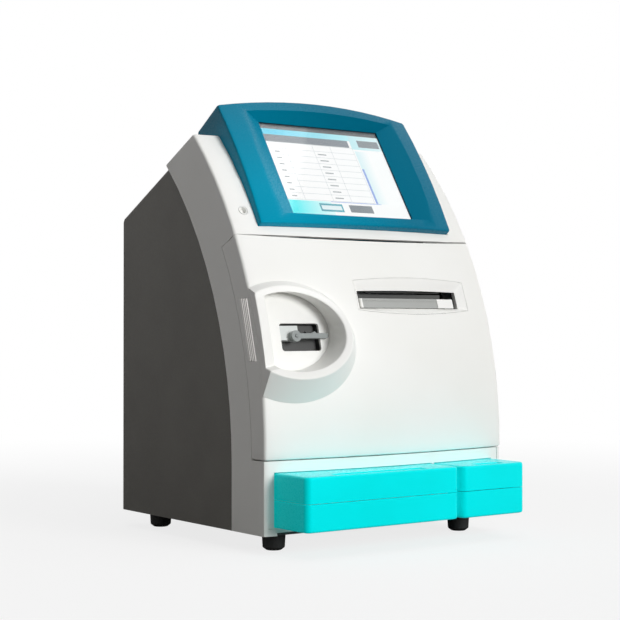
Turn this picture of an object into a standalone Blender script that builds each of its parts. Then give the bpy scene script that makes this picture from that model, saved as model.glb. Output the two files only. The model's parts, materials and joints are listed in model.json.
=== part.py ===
"""Bench-top blood gas analyzer, in metres, +Z up.

The origin lies on the bench under the middle of the object's box, and the front looks along -Y.
The front is an arc that leans back as it rises, bowed a little in plan.
"""
import math

import bmesh
import bpy
from mathutils import Matrix, Vector

# Overall sizes
WIDTH = 0.330
DEPTH = 0.301
DRAWER_REACH = 0.057
BACK_REACH = 0.002
FRONT_Y = (DRAWER_REACH - DEPTH - BACK_REACH) / 2
BACK_Y = FRONT_Y + DEPTH

# Lean and bow of the front, and the two lines that run beside it
FRONT_ARC_START = 0.105
FRONT_ARC_RADIUS = 0.492
FRONT_BOW = 0.0135
SEAM_ARC_START = 0.090
DOOR_DEPTH = 0.0234
DOOR_ARC_RADIUS = 0.498
FRAME_DEPTH = 0.0617
FRAME_ARC_RADIUS = 0.465

# Clearances and cutter overruns
GAP = 0.0003
SEAM = 0.0008
RUNNING = 0.0005
OVERRUN = 0.010

# Steps of the rounded shapes
BOW_STEPS = 8
ARC_STEPS = 9

for old in list(bpy.data.objects):
    bpy.data.objects.remove(old)

PARTS = bpy.data.collections.new("blood_gas_analyzer")
CUTTERS = bpy.data.collections.new("cutters")
for group in (PARTS, CUTTERS):
    bpy.context.scene.collection.children.link(group)


def finish(name, colour, roughness, metallic=0.0):
    made = bpy.data.materials.new(name)
    made.use_nodes = True
    shader = made.node_tree.nodes["Principled BSDF"]
    shader.inputs["Base Color"].default_value = (*colour, 1.0)
    shader.inputs["Roughness"].default_value = roughness
    shader.inputs["Metallic"].default_value = metallic
    return made


WHITE = finish("white_plastic", (0.86, 0.86, 0.84), 0.45)
DARK_GREY = finish("dark_grey_paint", (0.07, 0.068, 0.06), 0.55)
TEAL = finish("teal_plastic", (0.0, 0.19, 0.29), 0.35)
CYAN = finish("cyan_plastic", (0.0, 0.85, 0.85), 0.3)
MID_GREY = finish("grey_plastic", (0.26, 0.29, 0.29), 0.45)
CHARCOAL = finish("charcoal_plastic", (0.06, 0.06, 0.06), 0.5)
BLACK = finish("black_rubber", (0.015, 0.015, 0.015), 0.7)
STEEL = finish("steel", (0.55, 0.56, 0.57), 0.35, 1.0)
ZINC = finish("zinc_sheet", (0.42, 0.43, 0.44), 0.45, 1.0)
GLASS = finish("screen_glass", (0.75, 0.85, 0.9), 0.08)
CLEAR = finish("clear_acrylic", (0.7, 0.78, 0.8), 0.12)
PAPER = finish("paper", (0.9, 0.9, 0.87), 0.8)
DARK_SHEET = finish("dark_sheet", (0.06, 0.06, 0.06), 0.5)
BOARD = finish("circuit_board", (0.02, 0.17, 0.07), 0.5)


# Front surface
def lean(z, start, radius):
    rise = max(z - start, 0.0)
    return radius - math.sqrt(radius ** 2 - rise ** 2)


def front_y(z):
    return FRONT_Y + lean(z, FRONT_ARC_START, FRONT_ARC_RADIUS)


def door_rear_y(z):
    return FRONT_Y + DOOR_DEPTH + lean(z, SEAM_ARC_START, DOOR_ARC_RADIUS)


def frame_rear_y(z):
    return FRONT_Y + FRAME_DEPTH + lean(z, SEAM_ARC_START, FRAME_ARC_RADIUS)


def tilt_at(z):
    return math.asin(max(z - FRONT_ARC_START, 0.0) / FRONT_ARC_RADIUS)


def bow(x):
    return FRONT_BOW * (1 - (2 * x / WIDTH) ** 2)


def skin(x, z, depth=0.0):
    """A point on the bowed front, moved inward along +Y by depth."""
    return Vector((x, front_y(z) - bow(x) + depth, z))


# Modelling helpers
def place(obj, parent=None, at=(0, 0, 0), turn=None):
    obj.location = at
    if turn is not None:
        obj.rotation_euler = turn
    if parent is not None:
        obj.parent = parent
    return obj


def add_mesh(name, bm, material):
    bmesh.ops.recalc_face_normals(bm, faces=bm.faces)
    mesh = bpy.data.meshes.new(name)
    bm.to_mesh(mesh)
    bm.free()
    mesh.materials.append(material)
    obj = bpy.data.objects.new(name, mesh)
    PARTS.objects.link(obj)
    return obj


def smooth(obj, angle=40):
    obj.data.shade_smooth()
    obj.data.set_sharp_from_angle(angle=math.radians(angle))
    return obj


def empty(name, at, turn=(0, 0, 0)):
    obj = bpy.data.objects.new(name, None)
    PARTS.objects.link(obj)
    return place(obj, at=at, turn=turn)


def box(name, low, high, material, parent=None):
    """A box from one corner to the other, with its origin in its middle."""
    size = Vector(high) - Vector(low)
    middle = (Vector(high) + Vector(low)) / 2
    bm = bmesh.new()
    bmesh.ops.create_cube(bm, size=1.0, matrix=Matrix.Diagonal((*size, 1.0)))
    return place(add_mesh(name, bm, material), parent, middle)


def rod(name, start, end, radius, material, parent=None, sides=24, end_radius=None):
    """A round bar from start to end, whose origin is at its start."""
    run = Vector(end) - Vector(start)
    bm = bmesh.new()
    shift = Matrix.Translation((0, 0, run.length / 2))
    tip = radius if end_radius is None else end_radius
    bmesh.ops.create_cone(bm, cap_ends=True, segments=sides, radius1=radius, radius2=tip,
                          depth=run.length, matrix=shift)
    obj = add_mesh(name, bm, material)
    place(obj, parent, start, run.to_track_quat("Z", "Y").to_euler())
    return smooth(obj)


PLANES = {
    "top": Matrix.Identity(4),
    "side": Matrix(((0, 0, 1, 0), (1, 0, 0, 0), (0, 1, 0, 0), (0, 0, 0, 1))),
    "front": Matrix(((1, 0, 0, 0), (0, 0, -1, 0), (0, 1, 0, 0), (0, 0, 0, 1))),
}


def outline(name, points, half, material, plane="top", parent=None, at=(0, 0, 0)):
    """A flat closed outline, made 2 * half thick about the plane, as a mesh."""
    curve = bpy.data.curves.new(name, "CURVE")
    curve.dimensions = "2D"
    curve.fill_mode = "BOTH"
    curve.extrude = half
    spline = curve.splines.new("POLY")
    spline.points.add(len(points) - 1)
    for point, (a, b) in zip(spline.points, points):
        point.co = (a, b, 0, 1)
    spline.use_cyclic_u = True
    drawn = bpy.data.objects.new(name + "_drawn", curve)
    CUTTERS.objects.link(drawn)
    bpy.context.view_layer.update()
    mesh = bpy.data.meshes.new_from_object(drawn.evaluated_get(bpy.context.evaluated_depsgraph_get()))
    bpy.data.objects.remove(drawn)
    bm = bmesh.new()
    bm.from_mesh(mesh)
    bpy.data.meshes.remove(mesh)
    bm.transform(PLANES[plane])
    bmesh.ops.remove_doubles(bm, verts=bm.verts, dist=GAP / 10)
    bmesh.ops.dissolve_limit(bm, angle_limit=math.radians(1), verts=bm.verts, edges=bm.edges)
    return place(add_mesh(name, bm, material), parent, at)


def turned(name, profile, material, parent=None, at=(0, 0, 0), turn=(0, 0, 0), steps=32):
    """A solid turned about its own Z axis from (radius, height) points, listed from top to bottom."""
    bm = bmesh.new()
    corners = [bm.verts.new((radius, 0, height)) for radius, height in profile]
    for first, second in zip(corners, corners[1:]):
        bm.edges.new((first, second))
    mesh = bpy.data.meshes.new(name)
    bm.to_mesh(mesh)
    bm.free()
    mesh.materials.append(material)
    obj = bpy.data.objects.new(name, mesh)
    PARTS.objects.link(obj)
    screw = obj.modifiers.new("turn", "SCREW")
    screw.steps = screw.render_steps = steps
    screw.use_merge_vertices = True
    screw.merge_threshold = GAP / 10
    return place(obj, parent, at, turn)


def ring(name, loops, material, parent=None):
    """A closed ring whose section runs through the loops, each with the same number of points."""
    around, across = len(loops[0]), len(loops)
    bpy.ops.mesh.primitive_torus_add(major_segments=around, minor_segments=across)
    obj = bpy.context.object
    obj.name = obj.data.name = name
    for owner in obj.users_collection:
        owner.objects.unlink(obj)
    PARTS.objects.link(obj)
    for index, vertex in enumerate(obj.data.vertices):
        vertex.co = loops[index % across][index // across]
    bm = bmesh.new()
    bm.from_mesh(obj.data)
    bmesh.ops.recalc_face_normals(bm, faces=bm.faces)
    bm.to_mesh(obj.data)
    bm.free()
    obj.data.materials.clear()
    obj.data.materials.append(material)
    return place(obj, parent)


def hide_cutter(cutter):
    cutter.hide_render = True
    cutter.display_type = "WIRE"
    for owner in cutter.users_collection:
        owner.objects.unlink(cutter)
    CUTTERS.objects.link(cutter)


def combine(target, tool, operation):
    step = target.modifiers.new(operation.lower(), "BOOLEAN")
    step.operation = operation
    step.solver = "EXACT"
    step.object = tool
    hide_cutter(tool)
    return target


def cut(target, *tools):
    for tool in tools:
        combine(target, tool, "DIFFERENCE")
    return target


def join(target, *tools):
    for tool in tools:
        combine(target, tool, "UNION")
    return target


def soften(obj, width, segments=2, angle=40):
    bevel = obj.modifiers.new("soften", "BEVEL")
    bevel.width = width
    bevel.segments = segments
    bevel.limit_method = "ANGLE"
    bevel.angle_limit = math.radians(angle)
    return obj


def thicken(obj, wall):
    """Turns an open surface into a shell whose outer face stays where it is."""
    shell = obj.modifiers.new("wall", "SOLIDIFY")
    shell.thickness = wall
    shell.offset = -1
    shell.use_even_offset = True
    return obj


def reshape(obj, move=None, drop=None, stations=()):
    """Splits a mesh at the given x values, drops chosen faces and moves every vertex."""
    bm = bmesh.new()
    bm.from_mesh(obj.data)
    for station in stations:
        everything = list(bm.verts) + list(bm.edges) + list(bm.faces)
        bmesh.ops.bisect_plane(bm, geom=everything, plane_co=(station, 0, 0), plane_no=(1, 0, 0),
                               dist=GAP / 10)
    if drop is not None:
        bm.normal_update()
        doomed = [face for face in bm.faces if drop(face.calc_center_median(), face.normal)]
        bmesh.ops.delete(bm, geom=doomed, context="FACES")
    if move is not None:
        for vertex in bm.verts:
            vertex.co = move(vertex.co.copy())
    bm.to_mesh(obj.data)
    bm.free()
    return obj


def spread(low, high, count):
    """Count values from low to high, both included."""
    return [low + (high - low) * index / (count - 1) for index in range(count)]


def round_rectangle(width, height, radius, centre=(0, 0), corner_steps=4):
    points = []
    for quarter, (side, end) in enumerate(((1, 1), (-1, 1), (-1, -1), (1, -1))):
        for turn in spread(quarter * math.pi / 2, (quarter + 1) * math.pi / 2, corner_steps):
            points.append((centre[0] + side * (width / 2 - radius) + radius * math.cos(turn),
                           centre[1] + end * (height / 2 - radius) + radius * math.sin(turn)))
    return points


def arc_line(side_line, low, high, steps=ARC_STEPS):
    return [(side_line(z), z) for z in spread(low, high, steps)]


BOW_STATIONS = spread(-WIDTH / 2, WIDTH / 2, BOW_STEPS + 1)[1:-1]

# Feet and base plate
FOOT_HEIGHT = 0.019
FOOT_TOP_RADIUS = 0.0128
FOOT_LOW_RADIUS = 0.0119
FOOT_SOLE_RADIUS = 0.0079
FOOT_CHAMFER = 0.0030
FOOT_INSET = 0.035
FOOT_X = WIDTH / 2 - FOOT_INSET
FOOT_FRONT = 0.034
FOOT_BACK = 0.2675
BASE_GAUGE = 0.002
BASE_Z = FOOT_HEIGHT + GAP
BASE_TOP_Z = BASE_Z + BASE_GAUGE
BASE_SIDE_MARGIN = 0.0075
BASE_FRONT_SETBACK = 0.004
BASE_BACK_SETBACK = 0.0045


def make_feet():
    profile = [(0, FOOT_HEIGHT), (FOOT_TOP_RADIUS, FOOT_HEIGHT), (FOOT_LOW_RADIUS, FOOT_CHAMFER),
               (FOOT_SOLE_RADIUS, 0), (0, 0)]
    for depth_name, depth in (("front", FOOT_FRONT), ("back", FOOT_BACK)):
        for side_name, side in (("left", -1), ("right", 1)):
            turned(f"{depth_name}_{side_name}_foot", profile, BLACK,
                   at=(side * FOOT_X, FRONT_Y + depth, 0), steps=24)


def make_base():
    half_width = WIDTH / 2 - BASE_SIDE_MARGIN
    front, back = FRONT_Y + BASE_FRONT_SETBACK, BACK_Y - BASE_BACK_SETBACK
    points = [(-half_width, front), (half_width, front), (half_width, back), (-half_width, back)]
    outline("base_plate", points, BASE_GAUGE / 2, DARK_SHEET, at=(0, 0, BASE_Z + BASE_GAUGE / 2))


# Front frame
FRAME_WALL = 0.003
FRAME_BOTTOM_Z = 0.0196
FRAME_TOP_Z = 0.4488
TOP_SLOPE = math.radians(26.5)
FRAME_EDGE = 0.003
LOWER_STEP = 0.0015
DOOR_BOTTOM_Z = 0.0975
DOOR_TOP_Z = 0.3335
DOOR_TOP_DIP = 0.0030
DIP_START_Z = 0.300
FASCIA_MARGIN = 0.0052
FASCIA_HALF_WIDTH = WIDTH / 2 - FASCIA_MARGIN
FASCIA_BOTTOM_Z = 0.0271
LEG_FOOT_WIDTH = 0.0176
LEG_TOP_WIDTH = 0.0140


def frame_top_line(y):
    return FRAME_TOP_Z - (y - front_y(FRAME_TOP_Z)) * math.tan(TOP_SLOPE)


def where_they_meet(side_line, top_line):
    """The height at which a leaning side line meets the sloping top."""
    low, high = DOOR_BOTTOM_Z, FRAME_TOP_Z
    for _ in range(40):
        middle = (low + high) / 2
        if middle < top_line(side_line(middle)):
            low = middle
        else:
            high = middle
    return low


def seam_dip(x, z):
    share = min(max((z - DIP_START_Z) / (DOOR_TOP_Z - DIP_START_Z), 0.0), 1.0)
    return DOOR_TOP_DIP * (1 - (2 * x / WIDTH) ** 2) * share


def is_front(co):
    return co.y < front_y(co.z) + DOOR_DEPTH / 2


def bow_front(co):
    """Bows the front face and leaves the rest where it is."""
    if is_front(co):
        co.y -= bow(co.x)
    return co


def bow_door(co):
    """Bows the front face and dips the top seam in the middle, along the leaning face."""
    on_front = is_front(co)
    offset = co.y - front_y(co.z)
    co.z -= seam_dip(co.x, co.z)
    co.y = front_y(co.z) + offset
    if on_front:
        co.y -= bow(co.x)
    return co


def door_outline(grow=0.0, ahead=0.0):
    """The door's side view; grow widens its seams, ahead moves its face forward."""
    low, high = DOOR_BOTTOM_Z - grow, DOOR_TOP_Z
    tilt = tilt_at(high)
    inward, upward = (math.cos(tilt), -math.sin(tilt)), (math.sin(tilt), math.cos(tilt))
    corner = (front_y(high) + grow * upward[0], high + grow * upward[1])
    front = [(y - ahead, z) for y, z in arc_line(front_y, low, high)][:-1]
    if ahead:
        front.append((corner[0] - ahead * inward[0], corner[1] - ahead * inward[1]))
    rear_high = high - DOOR_DEPTH * math.sin(tilt)
    rear = [(y + grow, z) for y, z in arc_line(door_rear_y, low, rear_high)]
    run = (rear[-1][0] - corner[0]) / inward[0]
    rear[-1] = (corner[0] + run * inward[0], corner[1] + run * inward[1])
    return front + [corner] + rear[::-1]


def frame_rear_edge():
    rear_top = where_they_meet(frame_rear_y, frame_top_line)
    return arc_line(frame_rear_y, SEAM_ARC_START, rear_top, ARC_STEPS + 3)


def make_frame():
    lower = [(FRONT_Y + LOWER_STEP, z) for z in (FRAME_BOTTOM_Z, DOOR_BOTTOM_Z)]
    front = lower + arc_line(front_y, FRONT_ARC_START, FRAME_TOP_Z, ARC_STEPS + 5)
    points = front + frame_rear_edge()[::-1] + [(frame_rear_y(FRAME_BOTTOM_Z), FRAME_BOTTOM_Z)]
    frame = outline("front_frame", points, WIDTH / 2, WHITE, "side")

    def is_open(middle, normal):
        return normal.z < -0.9 or (abs(normal.x) < 0.1 and normal.y > 0.1 and not normal.z > 0.85)

    reshape(frame, bow_front, is_open, BOW_STATIONS)
    thicken(soften(frame, FRAME_EDGE), FRAME_WALL)
    opening = outline("door_opening", door_outline(SEAM, OVERRUN * 2), WIDTH / 2 + OVERRUN, WHITE, "side")
    cut(frame, reshape(opening, bow_door, None, BOW_STATIONS))
    window_top = DOOR_BOTTOM_Z + SEAM
    drawer_window = [(-FASCIA_HALF_WIDTH, window_top), (-FASCIA_HALF_WIDTH, FASCIA_BOTTOM_Z),
                     (LEG_TOP_WIDTH - WIDTH / 2, FASCIA_BOTTOM_Z),
                     (LEG_FOOT_WIDTH - WIDTH / 2, FRAME_BOTTOM_Z - OVERRUN)]
    drawer_window += [(-x, z) for x, z in reversed(drawer_window)]
    cut(frame, outline("drawer_window", drawer_window, DOOR_DEPTH, WHITE, "front", at=(0, FRONT_Y, 0)))
    return frame


# Rear cover
COVER_WALL = 0.0025
COVER_INSET = 0.0015
COVER_DROP = 0.0063
COVER_BOTTOM_Z = BASE_Z
COVER_EDGE = 0.004
COVER_SIDE_X = WIDTH / 2 - COVER_INSET
COVER_BACK_INNER_Y = BACK_Y - COVER_WALL


def cover_top_line(y):
    return frame_top_line(y) - COVER_DROP


def cover_front_y(z):
    """The cover's front edge, one gap behind the frame's faceted rear edge."""
    edge = frame_rear_edge()
    for (low_y, low_z), (high_y, high_z) in zip(edge, edge[1:]):
        if low_z <= z <= high_z:
            return low_y + (high_y - low_y) * (z - low_z) / (high_z - low_z) + GAP
    nearest = edge[0] if z < edge[0][1] else edge[-1]
    return nearest[0] + GAP


def make_cover():
    front_top = where_they_meet(cover_front_y, cover_top_line)
    levels = [z for _, z in frame_rear_edge() if z < front_top] + [front_top]
    points = [(cover_front_y(z), z) for z in [COVER_BOTTOM_Z] + levels]
    points += [(BACK_Y, cover_top_line(BACK_Y)), (BACK_Y, COVER_BOTTOM_Z)]
    cover = outline("rear_cover", points, COVER_SIDE_X, DARK_GREY, "side")
    reshape(cover, drop=lambda middle, normal: normal.y < -0.1 or normal.z < -0.9)
    return thicken(soften(cover, COVER_EDGE), COVER_WALL)


# Door hinge, above the top seam and inside the frame
HINGE_DEPTH = 0.010
HINGE_RISE = 0.030
HINGE_TILT = tilt_at(DOOR_TOP_Z)
HINGE_Y = front_y(DOOR_TOP_Z) + HINGE_DEPTH * math.cos(HINGE_TILT) + HINGE_RISE * math.sin(HINGE_TILT)
HINGE_Z = DOOR_TOP_Z - HINGE_DEPTH * math.sin(HINGE_TILT) + HINGE_RISE * math.cos(HINGE_TILT)
PIN_RADIUS = 0.002
ARM_INSET = 0.0170
ARM_INNER_X = WIDTH / 2 - ARM_INSET
ARM_GAUGE = 0.005
ARM_INNER_RADIUS = 0.0345
ARM_OUTER_RADIUS = 0.0405
ARM_EYE_RADIUS = 0.005
ARM_START_DEGREES = -8
ARM_END_DEGREES = 80
ARM_HALF_WIDTH_DEGREES = 8
ARM_EYE_HALF_DEGREES = 30
PIN_HEAD = 0.001
PAD_DEPTHS = (-0.0034, 0.012)
PAD_DROPS = (0.0370, 0.0700)
BRACKET_DEPTHS = (-0.0034, 0.0065)
BRACKET_DROPS = (0.006, -0.018)
BRACKET_INNER_X = ARM_INNER_X + ARM_GAUGE + GAP
FRAME_INNER_X = WIDTH / 2 - FRAME_WALL
DOOR_WALL = 0.0026
DOOR_INNER_X = WIDTH / 2 - DOOR_WALL


def hinge_frame(name):
    """An empty on the hinge axis, its Y inward and its Z up along the door's top edge."""
    return empty(name, (0, HINGE_Y, HINGE_Z), (-HINGE_TILT, 0, 0))


def around_hinge(radius, degrees):
    turn = math.radians(degrees)
    return radius * math.sin(turn), -radius * math.cos(turn)


def swept_radius(x):
    """How far the frame's edge over the door lies from the hinge axis."""
    edge_z = DOOR_TOP_Z - DOOR_TOP_DIP * (1 - (2 * x / WIDTH) ** 2) + SEAM * math.cos(HINGE_TILT)
    edge_y = front_y(edge_z) - bow(x) + SEAM * math.sin(HINGE_TILT)
    return math.hypot(edge_y - HINGE_Y, edge_z - HINGE_Z)


def make_arm(side_name, side, axis):
    low, high = ARM_END_DEGREES - ARM_HALF_WIDTH_DEGREES, ARM_END_DEGREES + ARM_HALF_WIDTH_DEGREES
    points = [around_hinge(ARM_INNER_RADIUS, turn) for turn in spread(ARM_START_DEGREES, low, 8)]
    eye_low, eye_high = ARM_END_DEGREES - ARM_EYE_HALF_DEGREES, ARM_END_DEGREES + ARM_EYE_HALF_DEGREES
    points += [around_hinge(ARM_EYE_RADIUS, turn) for turn in spread(eye_low, eye_high - 360, 12)]
    points += [around_hinge(ARM_OUTER_RADIUS, turn) for turn in spread(high, ARM_START_DEGREES, 10)]
    middle = side * (ARM_INNER_X + ARM_GAUGE / 2)
    name = f"{side_name}_hinge_arm"
    arm = outline(name, points, ARM_GAUGE / 2, ZINC, "side", axis, (middle, 0, 0))
    reach = DOOR_INNER_X - GAP - ARM_INNER_X
    pad = box(name + "_pad", (0, PAD_DEPTHS[0], -PAD_DROPS[1]), (reach, PAD_DEPTHS[1], -PAD_DROPS[0]),
              ZINC, axis)
    pad.location.x = side * (ARM_INNER_X + reach / 2)
    join(arm, pad)
    eye_hole = rod(name + "_eye", (side * (ARM_INNER_X - OVERRUN), 0, 0), (side * WIDTH / 2, 0, 0),
                   PIN_RADIUS + GAP * 1.5, ZINC, axis, 20)
    return cut(arm, eye_hole)


def make_hinges():
    axis = hinge_frame("door_hinge")
    for side_name, side in (("left", -1), ("right", 1)):
        make_arm(side_name, side, axis)
        bracket = box(f"{side_name}_hinge_bracket",
                      (0, BRACKET_DEPTHS[0], -BRACKET_DROPS[0]),
                      (FRAME_INNER_X - GAP - BRACKET_INNER_X, BRACKET_DEPTHS[1], -BRACKET_DROPS[1]),
                      ZINC, axis)
        bracket.location.x = side * (BRACKET_INNER_X + FRAME_INNER_X - GAP) / 2
        bore = rod(f"{side_name}_hinge_bore", (side * (ARM_INNER_X - OVERRUN), 0, 0),
                   (side * (FRAME_INNER_X - FRAME_WALL / 2), 0, 0), PIN_RADIUS + GAP, ZINC, axis, 20)
        cut(bracket, bore)
        rod(f"{side_name}_hinge_pin", (side * (ARM_INNER_X - PIN_HEAD), 0, 0),
            (side * (FRAME_INNER_X - FRAME_WALL / 2 - GAP), 0, 0), PIN_RADIUS, STEEL, axis, 20)


# Sampler: a D-shaped ring on the door, round a plate that stays on the body
RING_INSET = 0.039
RING_X = RING_INSET - WIDTH / 2
RIM_Z = 0.2305
RIM_HALF = (0.068, 0.049)
RIM_INNER_HALF = (0.0605, 0.0415)
RIM_LEFT = -(WIDTH / 2 - GAP)
RIM_INNER_INSET = 0.0125
RIM_INNER_LEFT = RIM_INNER_INSET - WIDTH / 2
RIM_RISE_TOP = 0.0095
RIM_RISE_BOTTOM = 0.0190
BAND_RISE = 0.0095
SKIRT_Z = 0.220
SKIRT_HALF = (0.080, 0.064)
SLEEVE_WALL = 0.0020
D_ARC_POINTS = 29
D_SIDE_SHARES = (0.02, 0.21, 0.40, 0.60, 0.79, 0.98)
PORT_OFFSET = 0.022
PORT_X = RING_X + PORT_OFFSET
PORT_Z = 0.2245
PORT_DEPTH = 0.0150
PORT_TILT = tilt_at(PORT_Z)
PLATE_GAUGE = 0.003
PLATE_MARGIN = 0.005
RING_CLEARANCE = 0.0008
RING_SEAT = 0.0004
WINDOW = (0.051, 0.030)
WINDOW_RADIUS = 0.003


def port_y(z):
    """The front of the sampler's plate, a flat face that leans as the door does there."""
    return skin(PORT_X, PORT_Z, PORT_DEPTH).y + (z - PORT_Z) * math.tan(PORT_TILT)


def d_outline(centre_z, half, left_x, grow=0.0):
    width, height, left = half[0] + grow, half[1] + grow, left_x - grow
    turn = math.acos((left - RING_X) / width)
    points = [(RING_X + width * math.cos(angle), centre_z + height * math.sin(angle))
              for angle in spread(-turn, turn, D_ARC_POINTS)]
    top, bottom = points[-1][1], points[0][1]
    return points + [(left, top + (bottom - top) * share) for share in D_SIDE_SHARES]


def rim_rise(index, z):
    if index >= D_ARC_POINTS:
        return BAND_RISE
    share = (RIM_Z + RIM_HALF[1] - z) / (2 * RIM_HALF[1])
    return RIM_RISE_TOP + (RIM_RISE_BOTTOM - RIM_RISE_TOP) * share


def make_ring():
    opening = d_outline(RIM_Z, RIM_INNER_HALF, RIM_INNER_LEFT)
    sleeve = d_outline(RIM_Z, RIM_INNER_HALF, RIM_INNER_LEFT, SLEEVE_WALL)
    rim = d_outline(RIM_Z, RIM_HALF, RIM_LEFT)
    skirt = d_outline(SKIRT_Z, SKIRT_HALF, RIM_LEFT)
    loops = [
        [Vector((x, port_y(z) - RING_CLEARANCE, z)) for x, z in sleeve],
        [skin(x, z, -RING_SEAT) for x, z in sleeve],
        [skin(x, z, -RING_SEAT) for x, z in skirt],
        [skin(x, z, -rim_rise(index, z)) for index, (x, z) in enumerate(rim)],
        [skin(x, z, -rim_rise(index, z)) for index, (x, z) in enumerate(opening)],
        [Vector((x, port_y(z) - RING_CLEARANCE, z)) for x, z in opening],
    ]
    return smooth(ring("sampler_ring", loops, WHITE))


# Bulkhead behind the door
BULKHEAD_SETBACK = 0.125
BULKHEAD_Y = FRONT_Y + BULKHEAD_SETBACK
BULKHEAD_GAUGE = 0.002
BULKHEAD_MARGIN = 0.0210
BULKHEAD_HALF_WIDTH = WIDTH / 2 - BULKHEAD_MARGIN
BULKHEAD_TOP_Z = 0.385
BULKHEAD_FACE_Y = BULKHEAD_Y - GAP
BULKHEAD_BACK_Y = BULKHEAD_Y + BULKHEAD_GAUGE + GAP

LEVER_X = -0.0095
LEVER_TIP_X = 0.0330
LEVER_BOSS_RADIUS = 0.0062
LEVER_HALF_WIDTH = 0.0028
LEVER_LIFT = 0.0020
LEVER_GAUGE = 0.0045
LEVER_PIN_RADIUS = 0.0015
INSERT_DEPTH = 0.0120
INSERT_GAUGE = 0.0066
THUMB_REACH = 0.0242
THUMB_RISE = 0.0020
THUMB_RUN = 0.0042
BOSS_CHAMFER = 0.0006
PIN_PROUD = 0.0007
LEVER_EDGE = 0.0007
HOUSING_HALF_WIDTH = 0.032
HOUSING_Z = (0.200, 0.249)
NEEDLE = (0.0125, 0.0060)
NEEDLE_RADIUS = 0.0009
NEEDLE_BORE = 0.0022
NEEDLE_LENGTH = 0.030
COVER_PLATE = ((-0.0252, -0.0030), (-0.0015, 0.0128))
COVER_PLATE_GAUGE = 0.002


def make_sampler():
    plate_points = d_outline(RIM_Z, RIM_INNER_HALF, RIM_INNER_LEFT, PLATE_MARGIN)
    plate = outline("sampler_plate", plate_points, PLATE_GAUGE / 2, WHITE, "front")

    def lean_back(co):
        return Vector((co.x, port_y(co.z) + PLATE_GAUGE / 2 + co.y, co.z))

    reshape(plate, lean_back)
    port = empty("sampler_port", skin(PORT_X, PORT_Z, PORT_DEPTH), (math.pi / 2 - PORT_TILT, 0, 0))
    cut(plate, outline("window_cut", round_rectangle(*WINDOW, WINDOW_RADIUS), INSERT_DEPTH, WHITE,
                       parent=port))

    face = [(port_y(z) + PLATE_GAUGE + GAP, z) for z in HOUSING_Z]
    points = face + [(BULKHEAD_FACE_Y, HOUSING_Z[1]), (BULKHEAD_FACE_Y, HOUSING_Z[0])]
    housing = outline("sampler_housing", points, HOUSING_HALF_WIDTH, CHARCOAL, "side", at=(PORT_X, 0, 0))
    pocket = round_rectangle(WINDOW[0] + 2 * GAP, WINDOW[1] + 2 * GAP, WINDOW_RADIUS)
    cut(housing, outline("insert_pocket", pocket, INSERT_DEPTH + PLATE_GAUGE + GAP, CHARCOAL, parent=port))
    needle_foot = (NEEDLE[0], NEEDLE[1], -INSERT_DEPTH - NEEDLE_LENGTH)
    needle_mouth = (NEEDLE[0], NEEDLE[1], OVERRUN)
    cut(housing, rod("needle_well", needle_foot, needle_mouth, NEEDLE_BORE, CHARCOAL, port, 16))

    insert_back = -INSERT_DEPTH - PLATE_GAUGE
    insert_front = insert_back + INSERT_GAUGE
    insert_points = round_rectangle(WINDOW[0] - 2 * GAP, WINDOW[1] - 2 * GAP, WINDOW_RADIUS)
    insert = outline("sampler_insert", insert_points, (insert_front - insert_back) / 2, CHARCOAL,
                     parent=port, at=(0, 0, (insert_front + insert_back) / 2))
    mouth_foot = (NEEDLE[0], NEEDLE[1], insert_front - NEEDLE_BORE)
    cut(insert, rod("needle_guide", needle_foot, needle_mouth, NEEDLE_RADIUS + GAP, CHARCOAL, port, 16),
        rod("needle_hole", mouth_foot, needle_mouth, NEEDLE_BORE, CHARCOAL, port, 16))
    rod("sample_needle", (NEEDLE[0], NEEDLE[1], insert_back - NEEDLE_LENGTH / 2),
        (NEEDLE[0], NEEDLE[1], insert_front - COVER_PLATE_GAUGE / 2), NEEDLE_RADIUS, STEEL, port, 12)

    (left, low), (right, high) = COVER_PLATE
    cover = box("probe_cover", (left, low, insert_front + GAP), (right, high, -COVER_PLATE_GAUGE / 2),
                WHITE, port)
    for name, target in (("cover", cover), ("insert", insert)):
        cut(target, rod(name + "_pin_hole", (LEVER_X, 0, insert_back - PLATE_GAUGE), (LEVER_X, 0, OVERRUN),
                        LEVER_PIN_RADIUS + GAP, CHARCOAL, port, 16))
    return port


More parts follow.
